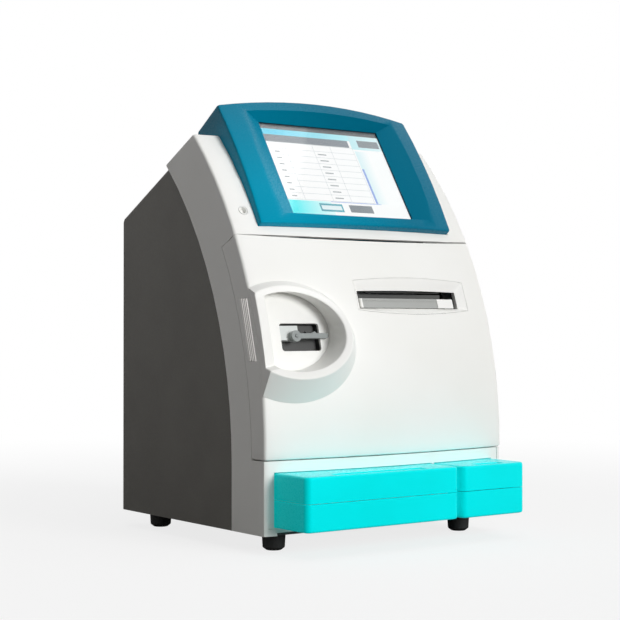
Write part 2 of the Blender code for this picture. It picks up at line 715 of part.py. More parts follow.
def make_lever(port):
    reach = LEVER_TIP_X - LEVER_X
    base = math.asin(LEVER_HALF_WIDTH / LEVER_BOSS_RADIUS)
    points = [(LEVER_BOSS_RADIUS * math.cos(turn), LEVER_BOSS_RADIUS * math.sin(turn))
              for turn in spread(base, 2 * math.pi - base, 14)]
    points += [(reach - LEVER_HALF_WIDTH + LEVER_HALF_WIDTH * math.cos(turn),
                LEVER_HALF_WIDTH * math.sin(turn)) for turn in spread(-math.pi / 2, math.pi / 2, 6)]
    points += [(THUMB_REACH + LEVER_HALF_WIDTH, LEVER_HALF_WIDTH),
               (THUMB_REACH, LEVER_HALF_WIDTH + THUMB_RISE),
               (THUMB_REACH - THUMB_RUN, LEVER_HALF_WIDTH)]
    lever = outline("sampler_lever", points, LEVER_GAUGE / 2, MID_GREY, parent=port,
                    at=(LEVER_X, 0, LEVER_LIFT + LEVER_GAUGE / 2))
    boss_back = -COVER_PLATE_GAUGE / 2 + GAP
    join(lever, rod("lever_boss", (LEVER_X, 0, boss_back),
                    (LEVER_X, 0, LEVER_LIFT + LEVER_GAUGE / 2), LEVER_BOSS_RADIUS - BOSS_CHAMFER, MID_GREY,
                    port, 20))
    cut(lever, rod("lever_bore", (LEVER_X, 0, -OVERRUN), (LEVER_X, 0, OVERRUN),
                   LEVER_PIN_RADIUS + GAP, MID_GREY, port, 16))
    soften(lever, LEVER_EDGE, 1)
    pin_back = -INSERT_DEPTH - PLATE_GAUGE + GAP
    rod("lever_pin", (LEVER_X, 0, pin_back), (LEVER_X, 0, LEVER_LIFT + LEVER_GAUGE + PIN_PROUD),
        LEVER_PIN_RADIUS, STEEL, port, 16)


# Printer on the back of the door
EYE_SPACE = 0.0125
EYE_INSET = 0.0350
EYE_X = (RING_X + SKIRT_HALF[0] + EYE_SPACE, WIDTH / 2 - EYE_INSET)
EYE_Z = (0.2550, 0.2850)
EYE_ARCH_TOP = 0.0040
EYE_ARCH_BOTTOM = 0.0045
THROAT_INSETS = (0.0050, 0.0110)
THROAT_X = (EYE_X[0] + THROAT_INSETS[0], EYE_X[1] - THROAT_INSETS[1])
THROAT_Z = (0.2556, 0.2745)
THROAT_ARCH = 0.0010
EYE_MARGIN = 0.0010
THROAT_DEPTH = 0.0050
SURROUND_DEPTH = 0.0100
EYE_SIDE_POINTS = 4
EYE_LONG_POINTS = 13
LID_INSETS = (0.0005, 0.0095)
LID_X = (THROAT_X[0] + LID_INSETS[0], THROAT_X[1] - LID_INSETS[1])
LID_Z = (0.2562, 0.2665)
LID_GAUGE = 0.0030
LID_BORDERS = (0.0025, 0.0250)
LID_INSET_X = (LID_X[0] + LID_BORDERS[0], LID_X[1] - LID_BORDERS[1])
LID_INSET_RISE = 0.0022
LID_INSET_DEPTH = 0.0010
ROLLER_INSETS = (0.0130, 0.0145)
ROLLER_X = (LID_X[0] + ROLLER_INSETS[0], LID_X[1] - ROLLER_INSETS[1])
ROLLER_RADIUS = 0.0042
ROLLER_BACK = 0.0145
ROLLER_RISE = 0.0045
ROLLER_SHAFT_RADIUS = 0.0015
CHEEK_GAUGE = 0.0030
CHEEK_RADIUS = 0.0035
ROLL_RADIUS = 0.0200
ROLL_BORE_RADIUS = 0.0065
CRADLE_WALL = 0.0030
CRADLE_SIDE = 0.0040
CRADLE_SETBACK = 0.0047
SHELF_Z = (0.2440, 0.2545)
CRADLE_Y = front_y(SHELF_Z[1]) + CRADLE_SETBACK
SHELF_DEPTHS = (0.0120, 0.0225)
SHELF_INSET = 0.001
FLANGE_GAUGE = 0.0025
HEAD_Z = (0.2660, 0.2715)
HEAD_GAUGE = 0.0070
HEAD_ARM_DEPTH = 0.0120
TEAR_BAR = (0.0030, 0.0012)


def eye_outline(x_range, z_range, arch_top, arch_bottom, grow=0.0):
    """A long outline with arched top and bottom, counted the same way for every size."""
    left, right = x_range[0] - grow, x_range[1] + grow
    low, high = z_range[0] - grow, z_range[1] + grow

    def arch(x):
        return 1 - ((2 * x - left - right) / (right - left)) ** 2

    top = [(x, high + arch_top * arch(x)) for x in spread(left, right, EYE_LONG_POINTS)]
    bottom = [(x, low - arch_bottom * arch(x)) for x in spread(right, left, EYE_LONG_POINTS)]
    right_side = [(right, z) for z in spread(high, low, EYE_SIDE_POINTS)[1:-1]]
    left_side = [(left, z) for z in spread(low, high, EYE_SIDE_POINTS)[1:-1]]
    return top + right_side + bottom + left_side


def drape(obj, depth, stations=()):
    """Bends a flat front-plane solid onto the bowed, leaning front, at a depth behind it."""
    return reshape(obj, lambda co: skin(co.x, co.z, depth + co.y), stations=stations)


def lid_axis():
    return Vector((0, front_y(LID_Z[0]) - FRONT_BOW + THROAT_DEPTH - LID_GAUGE, LID_Z[0]))


def make_printer():
    def loop(points, depth):
        return [skin(x, z, depth) for x, z in points]

    rim = eye_outline(EYE_X, EYE_Z, EYE_ARCH_TOP, EYE_ARCH_BOTTOM)
    edge = eye_outline(EYE_X, EYE_Z, EYE_ARCH_TOP, EYE_ARCH_BOTTOM, EYE_MARGIN)
    throat = eye_outline(THROAT_X, THROAT_Z, THROAT_ARCH, 0)
    surround = ring("printer_surround", [loop(edge, SURROUND_DEPTH), loop(edge, GAP / 2),
                                         loop(rim, GAP / 2), loop(throat, THROAT_DEPTH),
                                         loop(throat, SURROUND_DEPTH)], WHITE)
    smooth(surround)

    stations = spread(LID_X[0], LID_X[1], BOW_STEPS)[1:-1]
    corners = [(LID_X[0], LID_Z[0]), (LID_X[1], LID_Z[0]), (LID_X[1], LID_Z[1]), (LID_X[0], LID_Z[1])]
    lid_middle = THROAT_DEPTH - LID_GAUGE / 2
    lid = drape(outline("printer_lid", corners, LID_GAUGE / 2, WHITE, "front"), lid_middle, stations)
    low, high = LID_Z[0] - OVERRUN, LID_Z[1] - LID_INSET_RISE
    corners = [(LID_INSET_X[0], low), (LID_INSET_X[1], low), (LID_INSET_X[1], high), (LID_INSET_X[0], high)]
    inset = outline("lid_inset", corners, OVERRUN / 2, WHITE, "front")
    cut(lid, drape(inset, THROAT_DEPTH - LID_GAUGE + LID_INSET_DEPTH - OVERRUN / 2, stations))

    axis = lid_axis()
    roller_y, roller_z = axis.y + ROLLER_BACK, axis.z + ROLLER_RISE
    for side_name, x in (("left", ROLLER_X[0] - CHEEK_GAUGE / 2 - RUNNING),
                         ("right", ROLLER_X[1] + CHEEK_GAUGE / 2 + RUNNING)):
        front = skin(x, roller_z, THROAT_DEPTH - LID_GAUGE / 2).y
        points = [(front, roller_z - CHEEK_RADIUS), (front, roller_z + CHEEK_RADIUS)]
        points += [(roller_y + CHEEK_RADIUS * math.cos(turn), roller_z + CHEEK_RADIUS * math.sin(turn))
                   for turn in spread(math.pi / 2, -math.pi / 2, 7)]
        join(lid, outline(f"{side_name}_cheek", points, CHEEK_GAUGE / 2, WHITE, "side", at=(x, 0, 0)))
    shaft_ends = (ROLLER_X[0] - CHEEK_GAUGE, ROLLER_X[1] + CHEEK_GAUGE)
    cut(lid, rod("shaft_holes", (shaft_ends[0] - OVERRUN, roller_y, roller_z),
                 (shaft_ends[1] + OVERRUN, roller_y, roller_z), ROLLER_SHAFT_RADIUS + GAP, WHITE, None, 16))
    roller = rod("platen_roller", (ROLLER_X[0], roller_y, roller_z), (ROLLER_X[1], roller_y, roller_z),
                 ROLLER_RADIUS, BLACK, None, 20)
    join(roller, rod("roller_shaft", (shaft_ends[0], roller_y, roller_z),
                     (shaft_ends[1], roller_y, roller_z), ROLLER_SHAFT_RADIUS, STEEL, None, 16))

    bay_radius = ROLL_RADIUS + RUNNING
    roll_y = CRADLE_Y + CRADLE_WALL + bay_radius
    roll_z = roller_z - ROLLER_RADIUS - RUNNING - ROLL_RADIUS
    roll = rod("paper_roll", (ROLLER_X[0], roll_y, roll_z), (ROLLER_X[1], roll_y, roll_z),
               ROLL_RADIUS, PAPER, None, 32)
    cut(roll, rod("roll_core", (ROLLER_X[0] - OVERRUN, roll_y, roll_z),
                  (ROLLER_X[1] + OVERRUN, roll_y, roll_z), ROLL_BORE_RADIUS, PAPER, None, 16))
    bay_x = (ROLLER_X[0] - RUNNING, ROLLER_X[1] + RUNNING)
    outer_x = (bay_x[0] - CRADLE_SIDE, bay_x[1] + CRADLE_SIDE)
    back_y = roll_y + bay_radius + CRADLE_WALL
    body = box("printer_body", (outer_x[0], CRADLE_Y, roll_z - bay_radius - CRADLE_WALL),
               (outer_x[1], back_y, roll_z + CRADLE_WALL), MID_GREY)
    join(body, box("printer_wall", (outer_x[0], CRADLE_Y, roll_z),
                   (outer_x[1], CRADLE_Y + CRADLE_WALL, SHELF_Z[1]), MID_GREY))
    shelf_x = (outer_x[0] + SHELF_INSET, outer_x[1] - SHELF_INSET)
    corners = [(shelf_x[0], SHELF_Z[0]), (shelf_x[1], SHELF_Z[0]), (shelf_x[1], SHELF_Z[1]),
               (shelf_x[0], SHELF_Z[1])]
    shelf_half = (SHELF_DEPTHS[1] - SHELF_DEPTHS[0]) / 2
    shelf = outline("printer_shelf", corners, shelf_half, MID_GREY, "front")
    join(body, drape(shelf, SHELF_DEPTHS[0] + shelf_half, spread(*shelf_x, BOW_STEPS)[1:-1]))
    near, far = SURROUND_DEPTH + GAP, SURROUND_DEPTH + GAP + FLANGE_GAUGE
    join(body, ring("printer_flange", [loop(edge, far), loop(edge, near), loop(throat, near),
                                       loop(throat, far)], MID_GREY))
    head_front = roller_y + ROLLER_RADIUS + RUNNING
    for side_name, inner, outer in (("left", bay_x[0], outer_x[0]), ("right", bay_x[1], outer_x[1])):
        join(body, box(f"{side_name}_head_arm", (min(inner, outer), head_front, roll_z),
                       (max(inner, outer), head_front + HEAD_ARM_DEPTH, HEAD_Z[1]), MID_GREY))
    join(body, box("print_head", (bay_x[0] - CRADLE_SIDE / 2, head_front, HEAD_Z[0]),
                   (bay_x[1] + CRADLE_SIDE / 2, head_front + HEAD_GAUGE, HEAD_Z[1]), MID_GREY))
    cut(body, rod("roll_bay", (bay_x[0], roll_y, roll_z), (bay_x[1], roll_y, roll_z), bay_radius,
                  MID_GREY, None, 32))
    cut(body, box("roll_mouth", (bay_x[0], roll_y - bay_radius, roll_z),
                  (bay_x[1], roll_y + bay_radius, roll_z + bay_radius + ROLLER_RISE), MID_GREY))

    stations = spread(*ROLLER_X, BOW_STEPS)[1:-1]
    bar_top = THROAT_Z[1] - GAP
    corners = [(ROLLER_X[0], bar_top - TEAR_BAR[1]), (ROLLER_X[1], bar_top - TEAR_BAR[1]),
               (ROLLER_X[1], bar_top), (ROLLER_X[0], bar_top)]
    drape(outline("tear_bar", corners, TEAR_BAR[0] / 2, STEEL, "front"),
          SURROUND_DEPTH - TEAR_BAR[0] / 2, stations)


# Grips let into the door's sides
GRIP_Z = (0.1995, 0.2655)
GRIP_SETBACK = 0.0053
GRIP_DEPTH = 0.0140
GRIP_GAUGE = 0.0030
GRIP_GROOVES = 4
GROOVE_WIDTH = 0.0014
GROOVE_DEPTH = 0.0012
GROOVE_PITCH = 0.0031


def grip_outline(near, far, low, high):
    """A strip of the door's side view between two setbacks from the front."""
    return [(front_y(low) + near, low), (front_y(low) + far, low),
            (front_y(high) + far, high), (front_y(high) + near, high)]


def make_door():
    door = outline("front_door", door_outline(), WIDTH / 2, WHITE, "side")
    reshape(door, bow_door, lambda middle, normal: normal.y > 0.1, BOW_STATIONS)
    thicken(soften(door, FRAME_EDGE), DOOR_WALL)

    reach = WIDTH / 2 + OVERRUN
    profile = [(0, reach)] + [(swept_radius(x) + RUNNING, x) for x in (reach, *BOW_STATIONS[::-1], -reach)]
    sweep = turned("seam_sweep", profile + [(0, -reach)], WHITE, at=(0, HINGE_Y, HINGE_Z),
                   turn=(0, math.pi / 2, 0), steps=64)
    cut(door, sweep)

    hole = d_outline(RIM_Z, RIM_INNER_HALF, RIM_INNER_LEFT, SLEEVE_WALL + GAP)
    cut(door, outline("ring_hole", hole, FRAME_DEPTH, WHITE, "front", at=(0, front_y(RIM_Z), 0)))
    slot = eye_outline(EYE_X, EYE_Z, EYE_ARCH_TOP, EYE_ARCH_BOTTOM, EYE_MARGIN + GAP)
    cut(door, outline("printer_hole", slot, FRAME_DEPTH, WHITE, "front", at=(0, front_y(EYE_Z[0]), 0)))

    for side_name, side in (("left", -1), ("right", 1)):
        low, high = GRIP_Z
        window = grip_outline(GRIP_SETBACK - GAP, GRIP_SETBACK + GRIP_DEPTH + GAP, low - GAP, high + GAP)
        cut(door, outline(f"{side_name}_grip_window", window, OVERRUN, WHITE, "side",
                          at=(side * WIDTH / 2, 0, 0)))
        grip = outline(f"{side_name}_grip", grip_outline(GRIP_SETBACK, GRIP_SETBACK + GRIP_DEPTH, low, high),
                       GRIP_GAUGE / 2, WHITE, "side", at=(side * (WIDTH - GRIP_GAUGE) / 2, 0, 0))
        for index in range(GRIP_GROOVES):
            middle = GRIP_DEPTH / 2 + GROOVE_PITCH * (index - (GRIP_GROOVES - 1) / 2)
            near = GRIP_SETBACK + middle - GROOVE_WIDTH / 2
            groove = grip_outline(near, near + GROOVE_WIDTH, low - OVERRUN, high + OVERRUN)
            cut(grip, outline(f"{side_name}_groove_{index}", groove, GROOVE_DEPTH, WHITE, "side",
                              at=(side * WIDTH / 2, 0, 0)))


# Display pod
BEZEL_FOOT_SETBACK = 0.0512
BEZEL_FOOT_Z = 0.3472
BEZEL_FOOT = (FRONT_Y + BEZEL_FOOT_SETBACK, BEZEL_FOOT_Z)
BEZEL_TILT = math.radians(32.5)
BEZEL_INSET = 0.0305
BEZEL_HALF_WIDTH = WIDTH / 2 - BEZEL_INSET
BEZEL_LENGTH = 0.1615
BEZEL_SAG = 0.0045
BEZEL_ARCH_TOP = 0.0090
BEZEL_ARCH_BOTTOM = 0.0040
BEZEL_BACK = (0.0240, 0.0520)
BEZEL_WALL = 0.0030
BACK_SETBACK = 0.0010
BEZEL_EDGE = 0.0030
BEZEL_COLUMNS = 12
BEZEL_ROWS = 5
BEZEL_BORDER = 0.0340
RECESS_HEIGHT = 0.1385
RECESS = (2 * (BEZEL_HALF_WIDTH - BEZEL_BORDER), RECESS_HEIGHT)
RECESS_SLOPES = (0.0155, 0.00545)
SCREEN = (RECESS[0] - 2 * RECESS_SLOPES[0], RECESS[1] - 2 * RECESS_SLOPES[1])
SCREEN_MIDDLE = (0.0020, 0.0815)
SCREEN_DEPTH = 0.0040
RECESS_LIFT = 0.0030
SCREEN_LIP = 0.0012
GLASS_LAPS = (0.0080, 0.0077)
GLASS_SIZE = (SCREEN[0] + 2 * GLASS_LAPS[0], SCREEN[1] + 2 * GLASS_LAPS[1])
GLASS_GAUGE = 0.0018
LCD_LAPS = (0.0070, 0.0062)
LCD_SIZE = (SCREEN[0] + 2 * LCD_LAPS[0], SCREEN[1] + 2 * LCD_LAPS[1])
LCD_GAUGE = 0.0080


def bezel_frame():
    return empty("display_tilt", (0, *BEZEL_FOOT), (math.pi / 2 - BEZEL_TILT, 0, 0))


def bezel_rise(x, v):
    """How far the pod's face stands ahead of the flat plane through its corners."""
    across = FRONT_BOW * ((2 * BEZEL_HALF_WIDTH) ** 2 - (2 * x) ** 2) / WIDTH ** 2
    along = BEZEL_SAG * (1 - (2 * v / BEZEL_LENGTH - 1) ** 2)
    return across + along


def pod(name, grow, front_depths, back_depths, parent):
    """The pod's outer shape, or with a negative grow the space inside it, between depths at foot and top."""
    bm = bmesh.new()
    bmesh.ops.create_grid(bm, x_segments=BEZEL_COLUMNS, y_segments=BEZEL_ROWS, size=1.0)
    back = bmesh.ops.extrude_face_region(bm, geom=bm.faces[:])
    behind = {item for item in back["geom"] if isinstance(item, bmesh.types.BMVert)}
    for vertex in bm.verts:
        across, along = vertex.co.x, (vertex.co.y + 1) / 2
        x = across * (BEZEL_HALF_WIDTH + grow)
        top = BEZEL_LENGTH + grow + BEZEL_ARCH_TOP * (1 - across ** 2)
        bottom = -grow - BEZEL_ARCH_BOTTOM * (1 - across ** 2)
        v = bottom + (top - bottom) * along
        depths = back_depths if vertex in behind else front_depths
        if depths:
            vertex.co = (x, v, -depths[0] - (depths[1] - depths[0]) * along)
        else:
            vertex.co = (x, v, grow + bezel_rise(x, v))
    return place(add_mesh(name, bm, TEAL), parent)


def frustum(name, wide, narrow, high, low, parent, middle):
    """A four-sided funnel from the wide opening at high down to the narrow one at low."""
    bm = bmesh.new()
    bmesh.ops.create_cube(bm, size=1.0)
    for vertex in bm.verts:
        size, level = (wide, high) if vertex.co.z > 0 else (narrow, low)
        vertex.co = (2 * vertex.co.x * size[0] / 2, 2 * vertex.co.y * size[1] / 2, level)
    return place(add_mesh(name, bm, TEAL), parent, (*middle, 0))


def make_display(frame):
    tilt = bezel_frame()
    bezel = pod("display_bezel", 0.0, None, BEZEL_BACK, tilt)
    soften(bezel, BEZEL_EDGE, 2, 50)
    inner_front = SCREEN_DEPTH + SCREEN_LIP
    deep = [depth + OVERRUN for depth in BEZEL_BACK]
    cut(bezel, pod("pod_hollow", -BEZEL_WALL, (inner_front, inner_front), deep, tilt))
    slope = [(wide - narrow) / (RECESS_LIFT + SCREEN_DEPTH) for wide, narrow in zip(RECESS, SCREEN)]
    lift = RECESS_LIFT + OVERRUN * 2
    wide = [size + share * OVERRUN * 2 for size, share in zip(RECESS, slope)]
    cut(bezel, frustum("screen_recess", wide, SCREEN, lift, -SCREEN_DEPTH, tilt, SCREEN_MIDDLE))
    cut(bezel, box("screen_window", (-SCREEN[0] / 2 + SCREEN_MIDDLE[0], -SCREEN[1] / 2 + SCREEN_MIDDLE[1],
                                     -inner_front - OVERRUN),
                   (SCREEN[0] / 2 + SCREEN_MIDDLE[0], SCREEN[1] / 2 + SCREEN_MIDDLE[1],
                    -SCREEN_DEPTH + SCREEN_LIP / 2), TEAL, tilt))
    plate_back = [depth - BACK_SETBACK for depth in BEZEL_BACK]
    pod("display_back", -BEZEL_WALL - GAP, [depth - BEZEL_WALL for depth in plate_back], plate_back, tilt)
    cut(frame, pod("pod_opening", GAP, None, [depth + GAP for depth in BEZEL_BACK], tilt))

    glass_front = -inner_front - GAP
    layers = (("touch_glass", GLASS_SIZE, glass_front, GLASS_GAUGE, GLASS),
              ("lcd_module", LCD_SIZE, glass_front - GLASS_GAUGE - GAP, LCD_GAUGE, CHARCOAL))
    for name, size, front, gauge, material in layers:
        box(name, (SCREEN_MIDDLE[0] - size[0] / 2, SCREEN_MIDDLE[1] - size[1] / 2, front - gauge),
            (SCREEN_MIDDLE[0] + size[0] / 2, SCREEN_MIDDLE[1] + size[1] / 2, front), material, tilt)


# Stylus well in the frame, left of the display
WELL_INSET = 0.0189
WELL_X = WELL_INSET - WIDTH / 2
WELL_Z = 0.3605
WELL_RADIUS = 0.0053
WELL_BORE = 0.0042
WELL_DEPTH = 0.0062
WELL_FLOOR = 0.0015


def make_stylus_well(frame):
    mouth = skin(WELL_X, WELL_Z)
    turn = (math.pi / 2 - tilt_at(WELL_Z), 0, 0)
    profile = [(WELL_BORE, 0), (WELL_RADIUS, 0), (WELL_RADIUS, -WELL_DEPTH), (0, -WELL_DEPTH),
               (0, WELL_FLOOR - WELL_DEPTH), (WELL_BORE, WELL_FLOOR - WELL_DEPTH), (WELL_BORE, 0)]
    turned("stylus_well", profile, WHITE, at=mouth, turn=turn, steps=24)
    profile = [(0, OVERRUN), (WELL_RADIUS + GAP, OVERRUN), (WELL_RADIUS + GAP, -OVERRUN), (0, -OVERRUN)]
    cut(frame, turned("well_hole", profile, WHITE, at=mouth, turn=turn, steps=24))


# Drawers, their bay and the fascia round them
FASCIA_SETBACK = 0.0021
FASCIA_WALL = 0.0026
FASCIA_TOP_Z = DOOR_BOTTOM_Z - 2 * GAP
DRAWER_INSETS = (0.0125, 0.0160)
WASTE_WIDTH = 0.0930
PARTING = 0.0045
WASTE_X = (WIDTH / 2 - DRAWER_INSETS[1] - WASTE_WIDTH, WIDTH / 2 - DRAWER_INSETS[1])
REAGENT_X = (DRAWER_INSETS[0] - WIDTH / 2, WASTE_X[0] - PARTING)
DRAWER_Z = (0.0280, 0.0845)
DRAWER_SEAM_Z = 0.0570
DRAWER_FRONT_Y = FRONT_Y - DRAWER_REACH
DRAWER_DEPTH = 0.170
DRAWER_BACK_Y = FRONT_Y + DRAWER_DEPTH
DRAWER_CORNER = 0.007
DRAWER_WALL = 0.002
DRAWER_EDGE = 0.0025
DRAWER_SIDE_GAP = 0.0004
DRAWER_RUN = 0.0006
BAY_MARGIN = 0.008
BAY_HALF_WIDTH = WIDTH / 2 - BAY_MARGIN
BAY_SETBACK = 0.006
BAY_BEHIND = 0.008
BAY_Y = (FRONT_Y + BAY_SETBACK, DRAWER_BACK_Y + BAY_BEHIND)
BAY_ROOF = 0.0065
BAY_Z = (BASE_TOP_Z + GAP, DRAWER_Z[1] + BAY_ROOF)
FINGER_GROOVE = 0.012
FINGER_GROOVE_DEPTH = 0.003
FINGER_GROOVE_SETBACK = 0.011
FINGER_GROOVE_Y = DRAWER_FRONT_Y + FINGER_GROOVE_SETBACK
GROOVE_END_INSETS = (0.0410, 0.0265)


def make_bay():
    corners = [(-BAY_HALF_WIDTH, BAY_Z[0]), (BAY_HALF_WIDTH, BAY_Z[0]),
               (BAY_HALF_WIDTH, BAY_Z[1]), (-BAY_HALF_WIDTH, BAY_Z[1])]
    half = (BAY_Y[1] - BAY_Y[0]) / 2
    bay = outline("drawer_bay", corners, half, WHITE, "front", at=(0, BAY_Y[0] + half, 0))
    stations = spread(-FASCIA_HALF_WIDTH, FASCIA_HALF_WIDTH, BOW_STEPS + 1)[1:-1]
    side, low = FASCIA_HALF_WIDTH - GAP, FASCIA_BOTTOM_Z + GAP
    corners = [(-side, low), (side, low), (side, FASCIA_TOP_Z), (-side, FASCIA_TOP_Z)]
    fascia = outline("drawer_fascia", corners, FASCIA_WALL / 2, WHITE, "front")
    drape(fascia, FASCIA_SETBACK + FASCIA_WALL / 2, stations)
    for name, (left, right) in (("reagent", REAGENT_X), ("waste", WASTE_X)):
        low, high = DRAWER_Z[0] - DRAWER_RUN, DRAWER_Z[1] + DRAWER_RUN
        for carrier, bottom in ((bay, low), (fascia, low - OVERRUN)):
            cut(carrier, box(f"{name}_channel_{carrier.name}",
                             (left - DRAWER_SIDE_GAP, BAY_Y[0] - OVERRUN * 3, bottom),
                             (right + DRAWER_SIDE_GAP, BAY_Y[1] + OVERRUN, high), WHITE))


def drawer_half(name, x_range, z_range, open_up):
    """Half of a drawer, a thin-walled box with its mouth upward or downward."""
    width, length = x_range[1] - x_range[0], DRAWER_BACK_Y - DRAWER_FRONT_Y
    middle = ((x_range[0] + x_range[1]) / 2, (DRAWER_FRONT_Y + DRAWER_BACK_Y) / 2)
    height = z_range[1] - z_range[0]
    shell = outline(name, round_rectangle(width, length, DRAWER_CORNER), height / 2, CYAN,
                    at=(*middle, (z_range[0] + z_range[1]) / 2))
    mouth = 1 if open_up else -1
    reshape(shell, drop=lambda centre, normal: normal.z * mouth > 0.9)
    return thicken(soften(shell, DRAWER_EDGE, 2, 60), DRAWER_WALL)


def make_drawers():
    for name, x_range, inset in (("reagent", REAGENT_X, GROOVE_END_INSETS[0]),
                                 ("waste", WASTE_X, GROOVE_END_INSETS[1])):
        drawer_half(f"{name}_tray", x_range, (DRAWER_Z[0], DRAWER_SEAM_Z - GAP), True)
        cover = drawer_half(f"{name}_cover", x_range, (DRAWER_SEAM_Z + GAP, DRAWER_Z[1]), False)
        middle = (x_range[0] + x_range[1]) / 2
        groove_half = (x_range[1] - x_range[0]) / 2 - inset
        trough = box(f"{name}_trough",
                     (middle - groove_half - DRAWER_WALL, FINGER_GROOVE_Y - FINGER_GROOVE / 2 - DRAWER_WALL,
                      DRAWER_Z[1] - FINGER_GROOVE_DEPTH - DRAWER_WALL),
                     (middle + groove_half + DRAWER_WALL, FINGER_GROOVE_Y + FINGER_GROOVE / 2 + DRAWER_WALL,
                      DRAWER_Z[1] - DRAWER_WALL / 2), CYAN)
        join(cover, trough)
        groove = outline(f"{name}_groove", round_rectangle(2 * groove_half, FINGER_GROOVE, DRAWER_EDGE),
                         FINGER_GROOVE_DEPTH, CYAN, at=(middle, FINGER_GROOVE_Y, DRAWER_Z[1]))
        cut(cover, groove)


# Packs inside the drawers
PACK_MARGIN = 0.0008
PACK_HEIGHT = 0.0377
PACK_BACK_GAP = 0.001
PACK_FRONT_GAP = 0.012
PACK_FLOOR_Z = DRAWER_Z[0] + DRAWER_WALL + GAP
PACK_TOP_Z = PACK_FLOOR_Z + PACK_HEIGHT
PACK_BACK_Y = DRAWER_BACK_Y - DRAWER_WALL - PACK_BACK_GAP
PACK_FRONT_Y = DRAWER_FRONT_Y + PACK_FRONT_GAP
NECK_RADIUS = 0.009
NECK_HEIGHT = 0.010
NECK_COUNTS = (4, 1)
NECK_END_INSET = 0.0325
NECK_SETBACK = 0.022
NECK_Y = PACK_BACK_Y - NECK_SETBACK


def make_packs():
    margin = DRAWER_WALL + PACK_MARGIN
    for name, x_range, count, material in (("reagent_pack", REAGENT_X, NECK_COUNTS[0], WHITE),
                                           ("waste_bottle", WASTE_X, NECK_COUNTS[1], CLEAR)):
        width = x_range[1] - x_range[0] - 2 * margin
        length = PACK_BACK_Y - PACK_FRONT_Y
        middle = ((x_range[0] + x_range[1]) / 2, (PACK_FRONT_Y + PACK_BACK_Y) / 2)
        pack = outline(name, round_rectangle(width, length, DRAWER_CORNER), PACK_HEIGHT / 2,
                       material, at=(*middle, PACK_FLOOR_Z + PACK_HEIGHT / 2))
        soften(pack, DRAWER_EDGE, 1, 60)
        ends = x_range[0] + NECK_END_INSET, x_range[1] - NECK_END_INSET
        for index, x in enumerate(spread(*ends, count) if count > 1 else (middle[0],)):
            join(pack, rod(f"{name}_neck_{index}", (x, NECK_Y, PACK_TOP_Z - DRAWER_WALL),
                           (x, NECK_Y, PACK_TOP_Z + NECK_HEIGHT), NECK_RADIUS, material, None, 20))


# Bulkhead with what stands on either side of it
STANDOFF_RADIUS = 0.003
STANDOFF_LENGTH = 0.007
PUMP_SIZE = 0.060
PUMP_MARGIN = 0.009
PUMP_X = (BULKHEAD_HALF_WIDTH - PUMP_MARGIN - PUMP_SIZE, BULKHEAD_HALF_WIDTH - PUMP_MARGIN)
PUMP_SPACE = 0.020
BOARD_MARGIN = 0.014
BOARD_HEIGHT = 0.200
BOARD_LOW_Z = 0.125
BOARD_X = (BOARD_MARGIN - BULKHEAD_HALF_WIDTH, PUMP_X[0] - PUMP_SPACE)
BOARD_Z = (BOARD_LOW_Z, BOARD_LOW_Z + BOARD_HEIGHT)
BOARD_GAUGE = 0.0016
BOARD_INSET = 0.008
CHIP_SIZES = (0.030, 0.024, 0.016, 0.020)
CHIP_PLACE_SHARES = ((0.216, 0.725), (0.541, 0.45), (0.784, 0.2), (0.189, 0.2))
CHIP_RISE = 0.0025
BLOCK_WIDTH = 0.090
BLOCK_X = (PUMP_X[0] - PUMP_SPACE - BLOCK_WIDTH, PUMP_X[0] - PUMP_SPACE)
BLOCK_Z = (0.150, 0.185)
BLOCK_DEPTH = 0.040
ELECTRODES = 3
ELECTRODE_INSET = 0.017
ELECTRODE_RADIUS = 0.0070
ELECTRODE_CAP_RADIUS = 0.0085
ELECTRODE_CAP = 0.016
ELECTRODE_SEAT = 0.018
VALVE_Z = (0.105, 0.125)
VALVE_DEPTH = 0.030
VALVES = 3
VALVE_INSET = 0.015
VALVE_RADIUS = 0.0080
VALVE_REACH = 0.022
PUMP_LOW_Z = 0.120
PUMP_Z = (PUMP_LOW_Z, PUMP_LOW_Z + PUMP_SIZE)
PUMP_DEPTH = 0.050
PUMP_POCKET_RADIUS = 0.024
PUMP_POCKET_DEPTH = 0.016
ROTOR_HUB_RADIUS = 0.015
ROTOR_SHAFT_RADIUS = 0.003
ROTOR_DEPTH = 0.013
ROLLER_PITCH_RADIUS = 0.0165
PUMP_ROLLER_RADIUS = 0.0045
PUMP_ROLLERS = 3
MOTOR_RADIUS = 0.0180
MOTOR_LENGTH = 0.042


